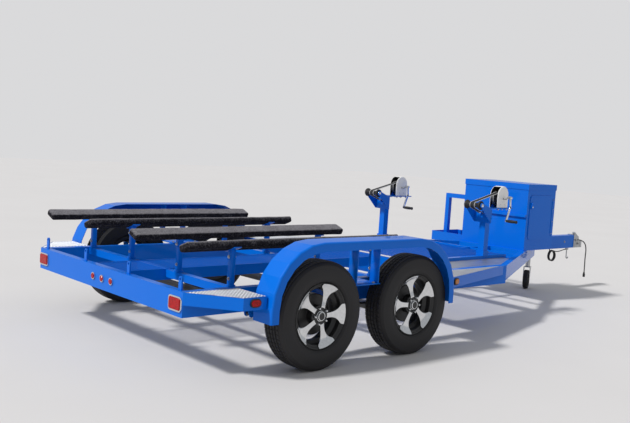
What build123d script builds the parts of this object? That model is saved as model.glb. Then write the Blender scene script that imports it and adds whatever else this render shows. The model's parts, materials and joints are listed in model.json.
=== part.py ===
from build123d import *
import math
import os

# A tandem-axle trailer for two small water craft. +X points forward to the
# coupler, +Y to the left, +Z up. The stations below are measured from the
# ground midway between the axles; the pieces are written about the middle of
# the trailer's length. All lengths are millimetres.

# Wheels and axles
AXLE_X = 432.0
TYRE_SIDE_GAP = 90.0
TYRE_R = 345.0
TYRE_W = 210.0
TREAD_W = 140.0
WALL_RISE = 50.0
SHOULDER_DROP = 19.0
SHOULDER_IN = 12.0
RIM_R = 190.0
RIM_W = 152.0
RIM_WALL = 8.0
FLANGE_R = 208.0
FLANGE_T = 8.0
WELL_R = 168.0
WELL_OUT = 30.0
WELL_IN = -56.0
WELL_SLOPE = 18.0
DISH_T = 17.0
DISH_CENTRE = 72.0
DISH_MIDDLE = 58.0
DISH_EDGE = 69.0
SPOKES = 5
SPOKE_ROOT_R = 67.0
SPOKE_ROOT = 17.0
SPOKE_WAIST_R = 108.0
SPOKE_WAIST = 20.0
SPOKE_END_R = 159.0
SPOKE_END = 58.0
SPOKE_CORNER = 8.0
HUB_R = 62.0
DRUM_R = 130.0
DRUM_W = 62.0
CAP_R = 34.0
CAP_REACH = 92.0
CAP_RING = 8.0
SPINDLE_R = 22.0
SPINDLE_REACH = 30.0
AXLE_TUBE_R = 30.0
AXLE_DROP = 83.0
DROP_PLATE_T = 20.0
DROP_PLATE_W = 72.0
DROP_PLATE_SET = 12.0
SHIELD_R = 126.0
SHIELD_T = 4.0
DRUM_CLEAR = 5.0
RUN_GAP = 0.3

# Leaf springs and their hangers
LEAVES = 4
LEAF_T = 7.0
LEAF_W = 44.0
LEAF_STEP = 0.22
LEAF_RISE = 10.0
SPRING_REACH = 320.0
SPRING_PAD = 6.0
PAD_HALF = 40.0
SEAT_GAP = 0.2
EYE_R = 12.0
EYE_LIFT = 3.0
HANGER_T = 5.0
HANGER_HALF = 30.0
HANGER_FOOT_R = 19.0
HANGER_BOLT_R = 8.0
HANGER_BOLT_H = 6.0
BALANCE_DROP = 30.0

# Frame
FRAME_TOP = 503.0
RAIL_W = 51.0
RAIL_H = 150.0
REAR_X = -1260.0
HALF_WIDTH = 952.0
KINK_X = 1900.0
AFRAME_MEET_X = 3728.0
AFRAME_H = 125.0
BUNK_BEARER = 50.0
REAR_BEARER_X = -875.0
FRONT_BEARER_X = 355.0
DECK_REAR_X = 1175.0
DECK_FRONT_X = 2335.0
THIN_BAR = 25.0
THIN_BAR_X = 2640.0
BOX_BEARER_X = 2984.0
SPINE_W = 40.0
SPINE_H = 50.0
LUG_INSET = 67.0
INNER_LUG_Y = 290.0
LUG_W = 32.0
LUG_T = 10.0
LUG_H = 82.0
LUG_HOLE_R = 9.0

# Walkway, deck and steps
MESH_T = 4.0
WALK_HALF = 190.0
EDGE_T = 5.0
EDGE_H = 75.0
STRINGER_W = 50.0
STRINGER_H = 76.0
STRINGER_TOP = 529.0
PLANK_T = 8.0
STEP_INSET = 50.0
STEP_BEVEL_X = -1040.0
STEP_SKIRT_H = 75.0
SHEET_T = 4.0
FRONT_STEP_SET = 10.0
FRONT_STEP_END = 1850.0
STEP_TIP = 3.0

# Fenders
FENDER_SIDE_GAP = 48.0
FENDER_W = 285.0
FENDER_REAR_X = -870.0
FENDER_FRONT_X = 800.0
FENDER_TOP = 810.0
FENDER_FOOT = 340.0
FENDER_BEND_R = 300.0
FENDER_FOLDS = 6
FENDER_EDGE_R = 14.0
FENDER_LIP = 34.0
FENDER_T = 3.0
BRACKET_HALF = 105.0
BRACKET_T = 8.0
BRACKET_W = 200.0

# Bunks
BUNK_LENGTH = 1800.0
BUNK_REAR_X = -1230.0
BUNK_W = 95.0
BUNK_T = 45.0
BUNK_EDGE_R = 9.0
BUNK_TOP = 777.0
BUNK_TILT = 21.0
BUNK_INSET = 68.0
INNER_BUNK_Y = 306.0
POST_W = 35.0
POST_GAP = 1.0
CRADLE_T = 6.0
CRADLE_W = 60.0
CRADLE_LIP = 20.0

# Lamps
TAIL_INSET = 72.0
TAIL_W = 135.0
TAIL_H = 90.0
TAIL_CORNER_R = 22.0
LENS_GAP = 0.5
LENS_BEVEL = 2.5
BEZEL_T = 8.0
BEZEL_RIM = 9.0
LENS_PROUD = 5.0
CLEAR_SPACING = 120.0
CLEAR_R = 24.0
CLEAR_RIM = 5.0
MARKER_L = 65.0
MARKER_H = 38.0
MARKER_RIM = 6.0
MARKER_T = 9.0
REAR_MARKER_X = -955.0
FRONT_MARKER_X = 928.0
MARKER_Z = 469.0

# Winch stands
STAND_X = 2040.0
STAND_W = 60.0
STAND_TOP = 940.0
SOCKET_W = 76.0
SOCKET_H = 44.0
WINCH_PLATE_T = 8.0
WINCH_PLATE_FRONT = 2360.0
WINCH_PLATE_W = 110.0
COVER_X = 2232.0
COVER_L = 250.0
COVER_W = 160.0
COVER_H = 196.0
COVER_WALL = 4.0
COVER_BEND = 88.0
COVER_EDGE_R = 24.0
ROLLER_X = 1868.0
ROLLER_Z = 972.0
ROLLER_R = 38.0
ROLLER_HALF = 80.0
ROLLER_WAIST = 20.0
ROLLER_BORE = 8.3
ROLLER_PIN = 8.0
ROLLER_SIDE_GAP = 3.0
ROLLER_RIM = 16.0
ROLLER_BELL = 38.0
ROLLER_BOSS_R = 18.0
ROLLER_BOSS = 2.0
PIN_HEAD = 6.0
ARM_T = 6.0
ARM_H = 44.0
YOKE_H = 120.0
DRUM_X = 2222.0
DRUM_RISE = 80.0
WOUND_R = 55.0
WOUND_W = 54.0
REEL_R = 70.0
REEL_T = 4.0
REEL_SHAFT_R = 8.0
WINCH_CHEEK_T = 5.0
WINCH_CHEEK_L = 120.0
WINCH_CHEEK_GAP = 2.0
STRAP_W = 50.0
STRAP_T = 3.0
STRAP_CLEAR = 5.0
EYE_X = 1988.0
STRAP_EYE_Z = 900.0
STRAP_EYE_R = 14.0
STRAP_EYE_T = 8.0
LINK_L = 40.0
LINK_BAR = 7.0
LINK_SIDE = 5.0
CRANK_X = 2233.0
CRANK_Z = 1041.0
CRANK_KNEE = (8.0, -82.0)
CRANK_END = (-40.0, -200.0)
CRANK_W = 24.0
CRANK_T = 7.0
CRANK_GRIP = 120.0
CRANK_OUT = 110.0
CRANK_HUB_R = 13.0
GRIP_R = 15.0
GRIP_NECK_R = 9.0

# Toolbox
BOX_REAR_X = 3004.0
BOX_FRONT_X = 3486.0
BOX_HALF = 376.0
BOX_TOP = 1148.0
BOX_WALL = 3.0
LID_LIP = 55.0
LID_GAP = 2.0
FLOOR_CLEAR = 2.0
DOOR_REAR_X = 3045.0
DOOR_FRONT_X = 3432.0
DOOR_FOOT = 606.0
DOOR_TOP = 1040.0
DOOR_R = 40.0
DOOR_T = 6.0
HINGE_R = 6.0
HINGE_LEAF = 24.0
HINGE_LEAF_T = 3.0
DOOR_KNUCKLES = 5
LID_HINGE_R = 5.0
LID_HINGE_SET = 6.5
LID_HINGE_HALF = 300.0
LID_KNUCKLES = 5
KNUCKLE_GAP = 1.0
LEDGE_Z = 840.0
LEDGE_H = 24.0
LEDGE_OUT = 22.0
LEDGE_END = 60.0
PADDLE_IN = 28.0
PADDLE_DROP = 100.0
PADDLE_W = 30.0
PADDLE_H = 64.0
PADDLE_T = 12.0
KNUCKLE_IN = 60.0
DOOR_LAP = 16.0

# Side platform and its rail
TRAY_REAR_X = 3060.0
TRAY_FRONT_X = 3500.0
TRAY_OUT = 820.0
TRAY_H = 57.0
TRAY_T = 4.0
TRAY_BEARER = 40.0
RAIL_POST_W = 46.0
RAIL_POST_X = 3270.0
RAIL_TOP = 966.0

# Tongue, coupler and jack
TONGUE_W = 76.0
TONGUE_FOOT = 437.0
TONGUE_TOP = 577.0
TONGUE_END_X = 4500.0
COUPLER_X = 4486.0
NOSE_X = 4680.0
COUPLER_W = 84.0
COUPLER_WALL = 5.0
BALL_X = 4632.0
BALL_Z = 478.0
BALL_R = 25.4
BALL_GAP = 0.6
LATCH_H = 36.0
LATCH_W = 28.0
LATCH_REACH = 60.0
LATCH_CORNER = 6.0
SOCKET_RISE = 40.0
COUPLER_NECK = 34.0
COUPLER_EDGE_R = 8.0
JACK_X = 3840.0
JACK_TUBE_R = 28.5
JACK_WALL = 3.5
JACK_TOP = 800.0
JACK_FOOT = 400.0
JACK_STANDOFF = 38.0
JACK_PLATE_T = 8.0
JACK_PLATE_W = 100.0
JACK_WEB_W = 40.0
JACK_HEAD_H = 30.0
JACK_ARM_L = 150.0
JACK_ARM_W = 24.0
JACK_ARM_T = 6.0
JACK_KNOB_R = 13.0
JACK_KNOB_L = 70.0
JACK_CAP = 6.0
JACK_COLLAR_R = 34.0
JACK_COLLAR_H = 14.0
STEM_R = 10.0
LEG_R = 24.7
LEG_FOOT = 236.0
JACK_STROKE = 150.0
CASTER_R = 100.0
CASTER_W = 50.0
CASTER_TRAIL = 34.0
CASTER_TURN = 26.0
FORK_T = 5.0
FORK_GAP = 5.0
FORK_CHEEK = 24.0
FORK_CROWN = 30.0
FORK_EYE = 20.0
CASTER_PIN = 8.0
CASTER_WEB = 20.0
CASTER_HUB_R = 32.0
CASTER_RIM_R = 72.0
CASTER_EDGE = 7.0

# Safety cable and trailer lead
COIL_X = 4075.0
COIL_Z = 363.0
COIL_R = 56.0
COIL_W = 62.0
COIL_TURN = 40.0
COIL_Y = -30.0
COIL_BAND = 24.0
CABLE_D = 10.0
CABLE_ROUTE = [
    (4106, -4, 403), (4148, 4, 407), (4200, -4, 398), (4262, -7, 398),
    (4330, 3, 407), (4405, 0, 418),
]
HOOK_X = 4425.0
HOOK_EYE_L = 40.0
HOOK_EYE_W = 16.0
HOOK_EYE_H = 28.0
HOOK_DROP = 130.0
HOOK_R = 6.0
HOOK_BEND_R = 17.0
LEAD_D = 12.0
PLUG_R = 13.0
PLUG_L = 52.0
PLUG_NECK_R = 9.0
PLUG_NECK_L = 14.0
PLUG_MOUTH_R = 10.0
PLUG_MOUTH_L = 6.0
LEAD_ROUTE = [
    (4604, -43, 520), (4606, -84, 516), (4612, -118, 478), (4621, -126, 414),
    (4624, -120, 330), (4620, -126, 240), (4626, -123, 164),
]

MIRROR = Plane.XZ
RAIL_IN = HALF_WIDTH - RAIL_W
RAIL_MIDDLE = HALF_WIDTH - RAIL_W / 2
OUTER_BUNK_Y = HALF_WIDTH - BUNK_INSET
STRINGER_Y = (INNER_BUNK_Y + OUTER_BUNK_Y) / 2
FENDER_IN = HALF_WIDTH + FENDER_SIDE_GAP
FENDER_OUT = FENDER_IN + FENDER_W
STEP_OUT = FENDER_OUT - STEP_INSET
FRONT_STEP_OUT = STEP_OUT - FRONT_STEP_SET
BRACKET_OUT = FENDER_IN + BRACKET_W
WHEEL_Y = HALF_WIDTH + TYRE_SIDE_GAP + TYRE_W / 2
WHEEL_Z = TYRE_R
AXLE_Z = WHEEL_Z - AXLE_DROP
SPRING_SEAT = AXLE_Z + AXLE_TUBE_R + SPRING_PAD
EYE_Z = SPRING_SEAT + LEAVES * LEAF_T + EYE_LIFT
REAR_FACE = REAR_X - BEZEL_T - LENS_PROUD
CENTRE_X = (NOSE_X + REAR_FACE) / 2
RAIL_FOOT = FRAME_TOP - RAIL_H
TONGUE_HALF = TONGUE_W / 2
AFRAME_SLOPE = (HALF_WIDTH - TONGUE_HALF) / (AFRAME_MEET_X - KINK_X)
AFRAME_SIDE = RAIL_W / math.cos(math.atan(AFRAME_SLOPE))
TONGUE_REAR_X = BOX_BEARER_X + RAIL_W / 2
JACK_Y = TONGUE_HALF + JACK_STANDOFF + JACK_TUBE_R
DRUM_Z = STAND_TOP + WINCH_PLATE_T + DRUM_RISE
LID_HINGE_X = BOX_FRONT_X + LID_HINGE_SET
LID_HINGE_Z = BOX_TOP - LID_LIP
DOOR_FACE = -(BOX_HALF + RUN_GAP + DOOR_T)
DOOR_HINGE_LINE = [
    (DOOR_FRONT_X, DOOR_FACE, DOOR_FOOT + KNUCKLE_IN), (DOOR_FRONT_X, DOOR_FACE, DOOR_TOP - KNUCKLE_IN),
]
LID_HINGE_LINE = [
    (LID_HINGE_X, -LID_HINGE_HALF, LID_HINGE_Z), (LID_HINGE_X, LID_HINGE_HALF, LID_HINGE_Z),
]


def aframe_out(x):
    """Half the frame's width over the angled rails at station x."""
    return HALF_WIDTH - AFRAME_SLOPE * (x - KINK_X)


def aframe_in(x):
    """Half the width between the angled rails at station x."""
    return aframe_out(x) - AFRAME_SIDE


def block(x0, x1, y0, y1, z0, z1):
    """A box between two corners."""
    middle = Pos((x0 + x1) / 2, (y0 + y1) / 2, (z0 + z1) / 2)
    return middle * Box(abs(x1 - x0), abs(y1 - y0), abs(z1 - z0))


def plan(points, z0, z1):
    """An outline seen from above, raised from z0 to z1."""
    face = make_face(Polyline(*points, close=True))
    return Pos(0, 0, z0) * extrude(face, z1 - z0)


def side(face, y0, y1):
    """A face drawn in x and z, thickened from y0 to y1."""
    return Pos(0, y1, 0) * extrude(Plane.XZ * face, y1 - y0)


def rod(start, end, radius):
    """A round bar from start to end."""
    start = Vector(*start)
    along = Vector(*end) - start
    place = Plane(origin=start, z_dir=along)
    return place * Pos(0, 0, along.length / 2) * Cylinder(radius, along.length)


def other_side(shape):
    """The same piece on the right of the trailer."""
    return mirror(shape, about=MIRROR)


def both(shape):
    """A piece on the left with its mirror image on the right."""
    return Compound([shape, other_side(shape)])


def cord_tube(points, diameter, name):
    """A round cord along straight runs, each bend as large as its runs allow."""
    route = [Vector(*point) for point in points]
    radii = []
    for before, corner, after in zip(route, route[1:], route[2:]):
        arriving = corner - before
        leaving = after - corner
        half_turn = math.radians(arriving.get_angle(leaving)) / 2
        shorter = min(arriving.length, leaving.length)
        radii.append(0.45 * shorter / math.tan(half_turn))
    path = FilletPolyline(*route, radius=radii)
    start = Plane(origin=route[0], z_dir=route[1] - route[0])
    tube = sweep(start * Circle(diameter / 2), path=path)
    print(name, "radii", [round(r) for r in radii], "length", round(path.length))
    print(name, "volume ratio", tube.volume / (path.length * math.pi * diameter ** 2 / 4))
    return tube


def tyre_solid():
    """A tyre about the y axis, seated on its rim between the flanges."""
    bead = RIM_W / 2 - RUN_GAP
    half = TYRE_W / 2
    flank = [(RIM_R + RUN_GAP, bead), (FLANGE_R, bead), (FLANGE_R + WALL_RISE, half),
             (TYRE_R - SHOULDER_DROP, half - SHOULDER_IN), (TYRE_R, TREAD_W / 2)]
    other_flank = [(radius, -y) for radius, y in reversed(flank)]
    return revolve(make_face(Polyline(*flank, *other_flank, close=True)), axis=Axis.Y)


def wheel_window():
    """The opening between two spokes. Its bowed sides leave spokes that flare to the rim."""
    half_turn = math.pi / SPOKES

    def beside_spoke(radius, half_width):
        """A point on a spoke's edge, seen from the window's own centre line."""
        return (radius * math.cos(half_turn) + half_width * math.sin(half_turn),
                radius * math.sin(half_turn) - half_width * math.cos(half_turn))

    root = beside_spoke(SPOKE_ROOT_R, SPOKE_ROOT)
    waist = beside_spoke(SPOKE_WAIST_R, SPOKE_WAIST)
    end = beside_spoke(SPOKE_END_R, SPOKE_END)
    lower_root, lower_waist, lower_end = [(x, -y) for x, y in (root, waist, end)]
    outline = make_face([
        ThreePointArc(lower_root, (math.hypot(*root), 0), root),
        ThreePointArc(root, waist, end),
        ThreePointArc(end, (math.hypot(*end), 0), lower_end),
        ThreePointArc(lower_end, lower_waist, lower_root),
    ])
    return fillet(outline.vertices(), SPOKE_CORNER)


def wheel_solid():
    """One wheel, its face towards +Y: rim with a dropped centre, dished spokes, hub and drum."""
    half = RIM_W / 2
    inside = RIM_R - RIM_WALL
    well_inside = WELL_R - RIM_WALL
    section = [
        (FLANGE_R, half + FLANGE_T), (FLANGE_R, half), (RIM_R, half), (RIM_R, WELL_OUT),
        (WELL_R, WELL_OUT - WELL_SLOPE), (WELL_R, WELL_IN + WELL_SLOPE), (RIM_R, WELL_IN), (RIM_R, -half),
        (FLANGE_R, -half), (FLANGE_R, -half - FLANGE_T), (inside, -half - FLANGE_T), (inside, WELL_IN),
        (well_inside, WELL_IN + WELL_SLOPE), (well_inside, WELL_OUT - WELL_SLOPE), (inside, WELL_OUT),
        (inside, half + FLANGE_T),
    ]
    barrel = revolve(make_face(Polyline(*section, close=True)), axis=Axis.Y)
    middle = (HUB_R + inside) / 2
    front = ThreePointArc((HUB_R - 1, DISH_CENTRE), (middle, DISH_MIDDLE), (inside + 1, DISH_EDGE))
    back = ThreePointArc((inside + 1, DISH_EDGE - DISH_T), (middle, DISH_MIDDLE - DISH_T),
                         (HUB_R - 1, DISH_CENTRE - DISH_T))
    dish = revolve(make_face([front, Line(front @ 1, back @ 0), back, Line(back @ 1, front @ 0)]), axis=Axis.Y)
    window = side(wheel_window(), 0, DISH_CENTRE + DISH_T)
    for spoke in range(SPOKES):
        dish -= Rot(0, 90 + (spoke + 0.5) * 360 / SPOKES, 0) * window
    bore = SPINDLE_R + RUN_GAP
    bore_end = SPINDLE_REACH + RUN_GAP
    ring = CAP_R + CAP_RING
    crown = CAP_R - CAP_RING
    ring_end = DISH_CENTRE + CAP_RING / 2
    crown_start = CAP_REACH - CAP_RING / 2
    hub_section = [
        (bore, -DRUM_W), (DRUM_R, -DRUM_W), (DRUM_R, 0), (HUB_R, 0), (HUB_R, DISH_CENTRE), (ring, DISH_CENTRE),
        (ring, ring_end), (CAP_R, ring_end), (CAP_R, crown_start), (crown, crown_start), (crown, CAP_REACH),
        (0, CAP_REACH), (0, bore_end), (bore, bore_end),
    ]
    hub = revolve(make_face(Polyline(*hub_section, close=True)), axis=Axis.Y)
    return barrel + dish + hub


def axle_solid(x):
    """A dropped axle: tube, end plates, brake shields and the spindles that carry the wheels."""
    tube_end = HALF_WIDTH + DROP_PLATE_T + DROP_PLATE_SET
    plate_end = tube_end + DROP_PLATE_T
    reach = DROP_PLATE_W / 2
    tube = rod((x, -tube_end, AXLE_Z), (x, tube_end, AXLE_Z), AXLE_TUBE_R)
    lower = Pos(x, AXLE_Z) * Circle(reach)
    upper = Pos(x, WHEEL_Z) * Circle(reach)
    between = Pos(x, (AXLE_Z + WHEEL_Z) / 2) * Rectangle(DROP_PLATE_W, WHEEL_Z - AXLE_Z)
    plate = side(lower + upper + between, tube_end, plate_end)
    spindle = rod((x, plate_end, WHEEL_Z), (x, WHEEL_Y + SPINDLE_REACH, WHEEL_Z), SPINDLE_R)
    shield_y = WHEEL_Y - DRUM_W - DRUM_CLEAR
    shield = rod((x, shield_y - SHIELD_T, WHEEL_Z), (x, shield_y, WHEEL_Z), SHIELD_R)
    end = plate + spindle + shield
    return tube + end + other_side(end)


def rail_solid():
    """The left main rail, cut at the kink and run on as the angled rail."""
    front = REAR_X + RAIL_W
    kink_in = KINK_X - (RAIL_IN - aframe_in(KINK_X)) / AFRAME_SLOPE
    main = plan([(front, RAIL_IN), (kink_in, RAIL_IN), (KINK_X, HALF_WIDTH), (front, HALF_WIDTH)],
                RAIL_FOOT, FRAME_TOP)
    meet_in = KINK_X + (HALF_WIDTH - AFRAME_SIDE - TONGUE_HALF) / AFRAME_SLOPE
    meet_out = KINK_X + (HALF_WIDTH - TONGUE_HALF) / AFRAME_SLOPE
    angled = plan([(kink_in, RAIL_IN), (KINK_X, HALF_WIDTH), (meet_out, TONGUE_HALF), (meet_in, TONGUE_HALF)],
                  FRAME_TOP - AFRAME_H, FRAME_TOP)
    return main + angled


def rear_beam():
    """The rear beam with the four tie-down lugs welded on its top."""
    beam = block(REAR_X, REAR_X + RAIL_W, -HALF_WIDTH, HALF_WIDTH, RAIL_FOOT, FRAME_TOP)
    middle = REAR_X + RAIL_W / 2
    rise = LUG_H - LUG_W / 2
    outer = HALF_WIDTH - LUG_INSET
    for y in (-outer, -INNER_LUG_Y, INNER_LUG_Y, outer):
        foot = block(middle - LUG_T / 2, middle + LUG_T / 2, y - LUG_W / 2, y + LUG_W / 2,
                     FRAME_TOP, FRAME_TOP + rise)
        top = Pos(middle, y, FRAME_TOP + rise) * Rot(0, 90, 0)
        beam += foot + top * Cylinder(LUG_W / 2, LUG_T)
        beam -= top * Cylinder(LUG_HOLE_R, LUG_T + 2)
    return beam


def bearer(x, width, height):
    """A cross member between the rails, its ends cut to them."""
    x0 = x - width / 2
    x1 = x + width / 2
    y0 = min(RAIL_IN, aframe_in(x0))
    y1 = min(RAIL_IN, aframe_in(x1))
    return plan([(x0, -y0), (x1, -y1), (x1, y1), (x0, y0)], FRAME_TOP - height, FRAME_TOP)


def cross_members():
    """The members between the rails, the thin bar cut in two by the spine."""
    low = Pos(0, 0, -MESH_T)
    members = [
        low * bearer(REAR_BEARER_X, BUNK_BEARER, BUNK_BEARER),
        low * bearer(FRONT_BEARER_X, BUNK_BEARER, BUNK_BEARER),
        bearer(DECK_REAR_X, RAIL_W, RAIL_H),
        bearer(DECK_FRONT_X, RAIL_W, AFRAME_H),
        bearer(BOX_BEARER_X, RAIL_W, AFRAME_H),
    ]
    bar = bearer(THIN_BAR_X, THIN_BAR, THIN_BAR) - spine()
    return members + list(bar.solids())


def spine():
    """The centre bar between the front deck's member and the box bearer."""
    return block(DECK_FRONT_X + RAIL_W / 2, BOX_BEARER_X - RAIL_W / 2, -SPINE_W / 2, SPINE_W / 2,
                 FRAME_TOP - SPINE_H, FRAME_TOP)


def deck_frames(members):
    """The walkway's edge plates and the stringers under the front deck."""
    edge = block(REAR_X + RAIL_W, DECK_REAR_X - RAIL_W / 2, WALK_HALF - EDGE_T, WALK_HALF,
                 FRAME_TOP - EDGE_H, FRAME_TOP)
    stringer = block(DECK_REAR_X - RAIL_W / 2, DECK_FRONT_X + RAIL_W / 2,
                     STRINGER_Y - STRINGER_W / 2, STRINGER_Y + STRINGER_W / 2,
                     STRINGER_TOP - STRINGER_H, STRINGER_TOP)
    shapes = [edge, stringer, other_side(edge), other_side(stringer)]
    for member in members:
        shapes = [shape - member for shape in shapes]
    return Compound([solid for shape in shapes for solid in shape.solids()])


def deck_mesh():
    """The sheets of expanded metal: the walkway and the front deck."""
    half = WALK_HALF - EDGE_T
    walk = block(REAR_X + RAIL_W, DECK_REAR_X - RAIL_W / 2, -half, half, FRAME_TOP - MESH_T, FRAME_TOP)
    half = STRINGER_Y - STRINGER_W / 2
    deck = block(DECK_REAR_X - RAIL_W / 2, DECK_FRONT_X + RAIL_W / 2, -half, half,
                 STRINGER_TOP - MESH_T, STRINGER_TOP)
    return Compound([walk, deck])


def side_plank():
    """The perforated plank between the left stringer and the rail."""
    x0 = DECK_REAR_X + RAIL_W / 2
    x1 = DECK_FRONT_X - RAIL_W / 2
    y0 = STRINGER_Y + STRINGER_W / 2
    kink_in = KINK_X - (RAIL_IN - aframe_in(KINK_X)) / AFRAME_SLOPE
    return plan([(x0, y0), (x1, y0), (x1, aframe_in(x1)), (kink_in, RAIL_IN), (x0, RAIL_IN)],
                FRAME_TOP - PLANK_T, FRAME_TOP)


def step_outlines():
    """The rear and front steps' outlines on the left, from the rail outwards."""
    rear = [(REAR_X, HALF_WIDTH), (STEP_BEVEL_X, STEP_OUT), (FENDER_REAR_X, STEP_OUT),
            (FENDER_REAR_X, HALF_WIDTH)]
    front = [(FENDER_FRONT_X, HALF_WIDTH), (FENDER_FRONT_X, FRONT_STEP_OUT),
             (FRONT_STEP_END, HALF_WIDTH + STEP_TIP), (FRONT_STEP_END, HALF_WIDTH)]
    return rear, front


def steps():
    """The steps' bent skirts and the tread plates that lie in them."""
    skirts = []
    treads = []
    foot = FRAME_TOP - STEP_SKIRT_H
    for outline in step_outlines():
        face = make_face(Polyline(*outline, close=True))
        inner = offset(face, amount=-SHEET_T, kind=Kind.INTERSECTION)
        hollow = Pos(0, 0, foot - 1) * extrude(inner, STEP_SKIRT_H + 2)
        skirts.append(plan(outline, foot, FRAME_TOP) - hollow)
        treads.append(Pos(0, 0, FRAME_TOP - SHEET_T) * extrude(inner, SHEET_T))
    return skirts, treads


def fender_path(inset):
    """The fender's side outline, drawn in by inset. Each shoulder is folded in short flats."""
    below = FENDER_FOOT - 2 * FENDER_LIP
    centre_z = FENDER_TOP - FENDER_BEND_R
    points = [(FENDER_REAR_X, below)]
    for fold in range(FENDER_FOLDS + 1):
        angle = math.radians(180 - 90 * fold / FENDER_FOLDS)
        points.append((FENDER_REAR_X + FENDER_BEND_R * (1 + math.cos(angle)),
                       centre_z + FENDER_BEND_R * math.sin(angle)))
    for fold in range(FENDER_FOLDS + 1):
        angle = math.radians(90 - 90 * fold / FENDER_FOLDS)
        points.append((FENDER_FRONT_X - FENDER_BEND_R * (1 - math.cos(angle)),
                       centre_z + FENDER_BEND_R * math.sin(angle)))
    points.append((FENDER_FRONT_X, below))
    face = make_face(Polyline(*points, close=True))
    return offset(face, amount=-inset, kind=Kind.INTERSECTION) if inset else face


def fender_form(inset, y_out, edge_radius):
    """The room under the fender's outline, with its long outer edge rounded."""
    form = side(fender_path(inset), FENDER_IN - inset, y_out)
    outer = form.faces().sort_by(Axis.Y)[-1]
    edges = outer.edges().filter_by_position(Axis.Z, FENDER_FOOT - 2 * FENDER_LIP, FENDER_TOP + 1)
    bottom = edges.sort_by(Axis.Z)[0]
    return fillet([edge for edge in edges if edge != bottom], edge_radius)


def fender():
    """The left fender: a folded sheet with a rolled-over edge and a lip, and its bracket."""
    outer = fender_form(0, FENDER_OUT, FENDER_EDGE_R)
    hollow = fender_form(FENDER_T, FENDER_OUT - FENDER_T, FENDER_EDGE_R - FENDER_T)
    mouth = side(fender_path(FENDER_LIP), FENDER_OUT - 2 * FENDER_EDGE_R, FENDER_OUT + 1)
    below = block(FENDER_REAR_X - 1, FENDER_FRONT_X + 1, FENDER_IN - 1, FENDER_OUT + 1,
                  FENDER_FOOT - 3 * FENDER_LIP, FENDER_FOOT)
    sheet = outer - hollow - mouth - below
    under = FENDER_TOP - FENDER_T
    foot = block(-BRACKET_HALF, BRACKET_HALF, RAIL_IN, BRACKET_OUT, FRAME_TOP, FRAME_TOP + BRACKET_T)
    upright = block(BRACKET_HALF - BRACKET_T, BRACKET_HALF, FENDER_IN, BRACKET_OUT, FRAME_TOP, under)
    bracket = foot + upright + mirror(upright, about=Plane.YZ)
    return sheet + bracket


def bunk(y, lean):
    """One carpeted board, its top leaning towards -Y when lean is 1."""
    middle = BUNK_TOP - BUNK_T / 2
    place = Pos(BUNK_REAR_X + BUNK_LENGTH / 2, y, middle) * Rot(lean * BUNK_TILT, 0, 0)
    board = Box(BUNK_LENGTH, BUNK_W, BUNK_T)
    return place * fillet(board.edges().filter_by(Axis.X), BUNK_EDGE_R)


def bunk_post(x, y, lean):
    """A post on its bearer, with the tilted cradle that the board rests in."""
    middle = BUNK_TOP - BUNK_T / 2
    tilt = Pos(x, y, middle) * Rot(lean * BUNK_TILT, 0, 0)
    seat = -BUNK_T / 2
    within = BUNK_W / 2 + RUN_GAP
    over = within + CRADLE_T
    wide = CRADLE_W / 2
    cradle = block(-wide, wide, -over, over, seat - CRADLE_T, seat + CRADLE_LIP)
    cradle = tilt * (cradle - block(-wide - 1, wide + 1, -within, within, seat, seat + 2 * CRADLE_LIP))
    half = POST_W / 2
    reach = RAIL_IN - half - POST_GAP
    foot_y = max(-reach, min(reach, y))
    angle = math.radians(BUNK_TILT)
    drop = (BUNK_T / 2 + CRADLE_T) / math.cos(angle)

    def cut(edge_y):
        """The height at which the tilted cradle meets the post."""
        return middle - drop + lean * math.tan(angle) * (edge_y - y)

    foot = FRAME_TOP - MESH_T
    low = foot_y - half
    high = foot_y + half
    profile = make_face(Polyline((low, foot), (high, foot), (high, cut(high)), (low, cut(low)), close=True))
    return Pos(x - half, 0, 0) * extrude(Plane.YZ * profile, POST_W) + cradle


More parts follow.
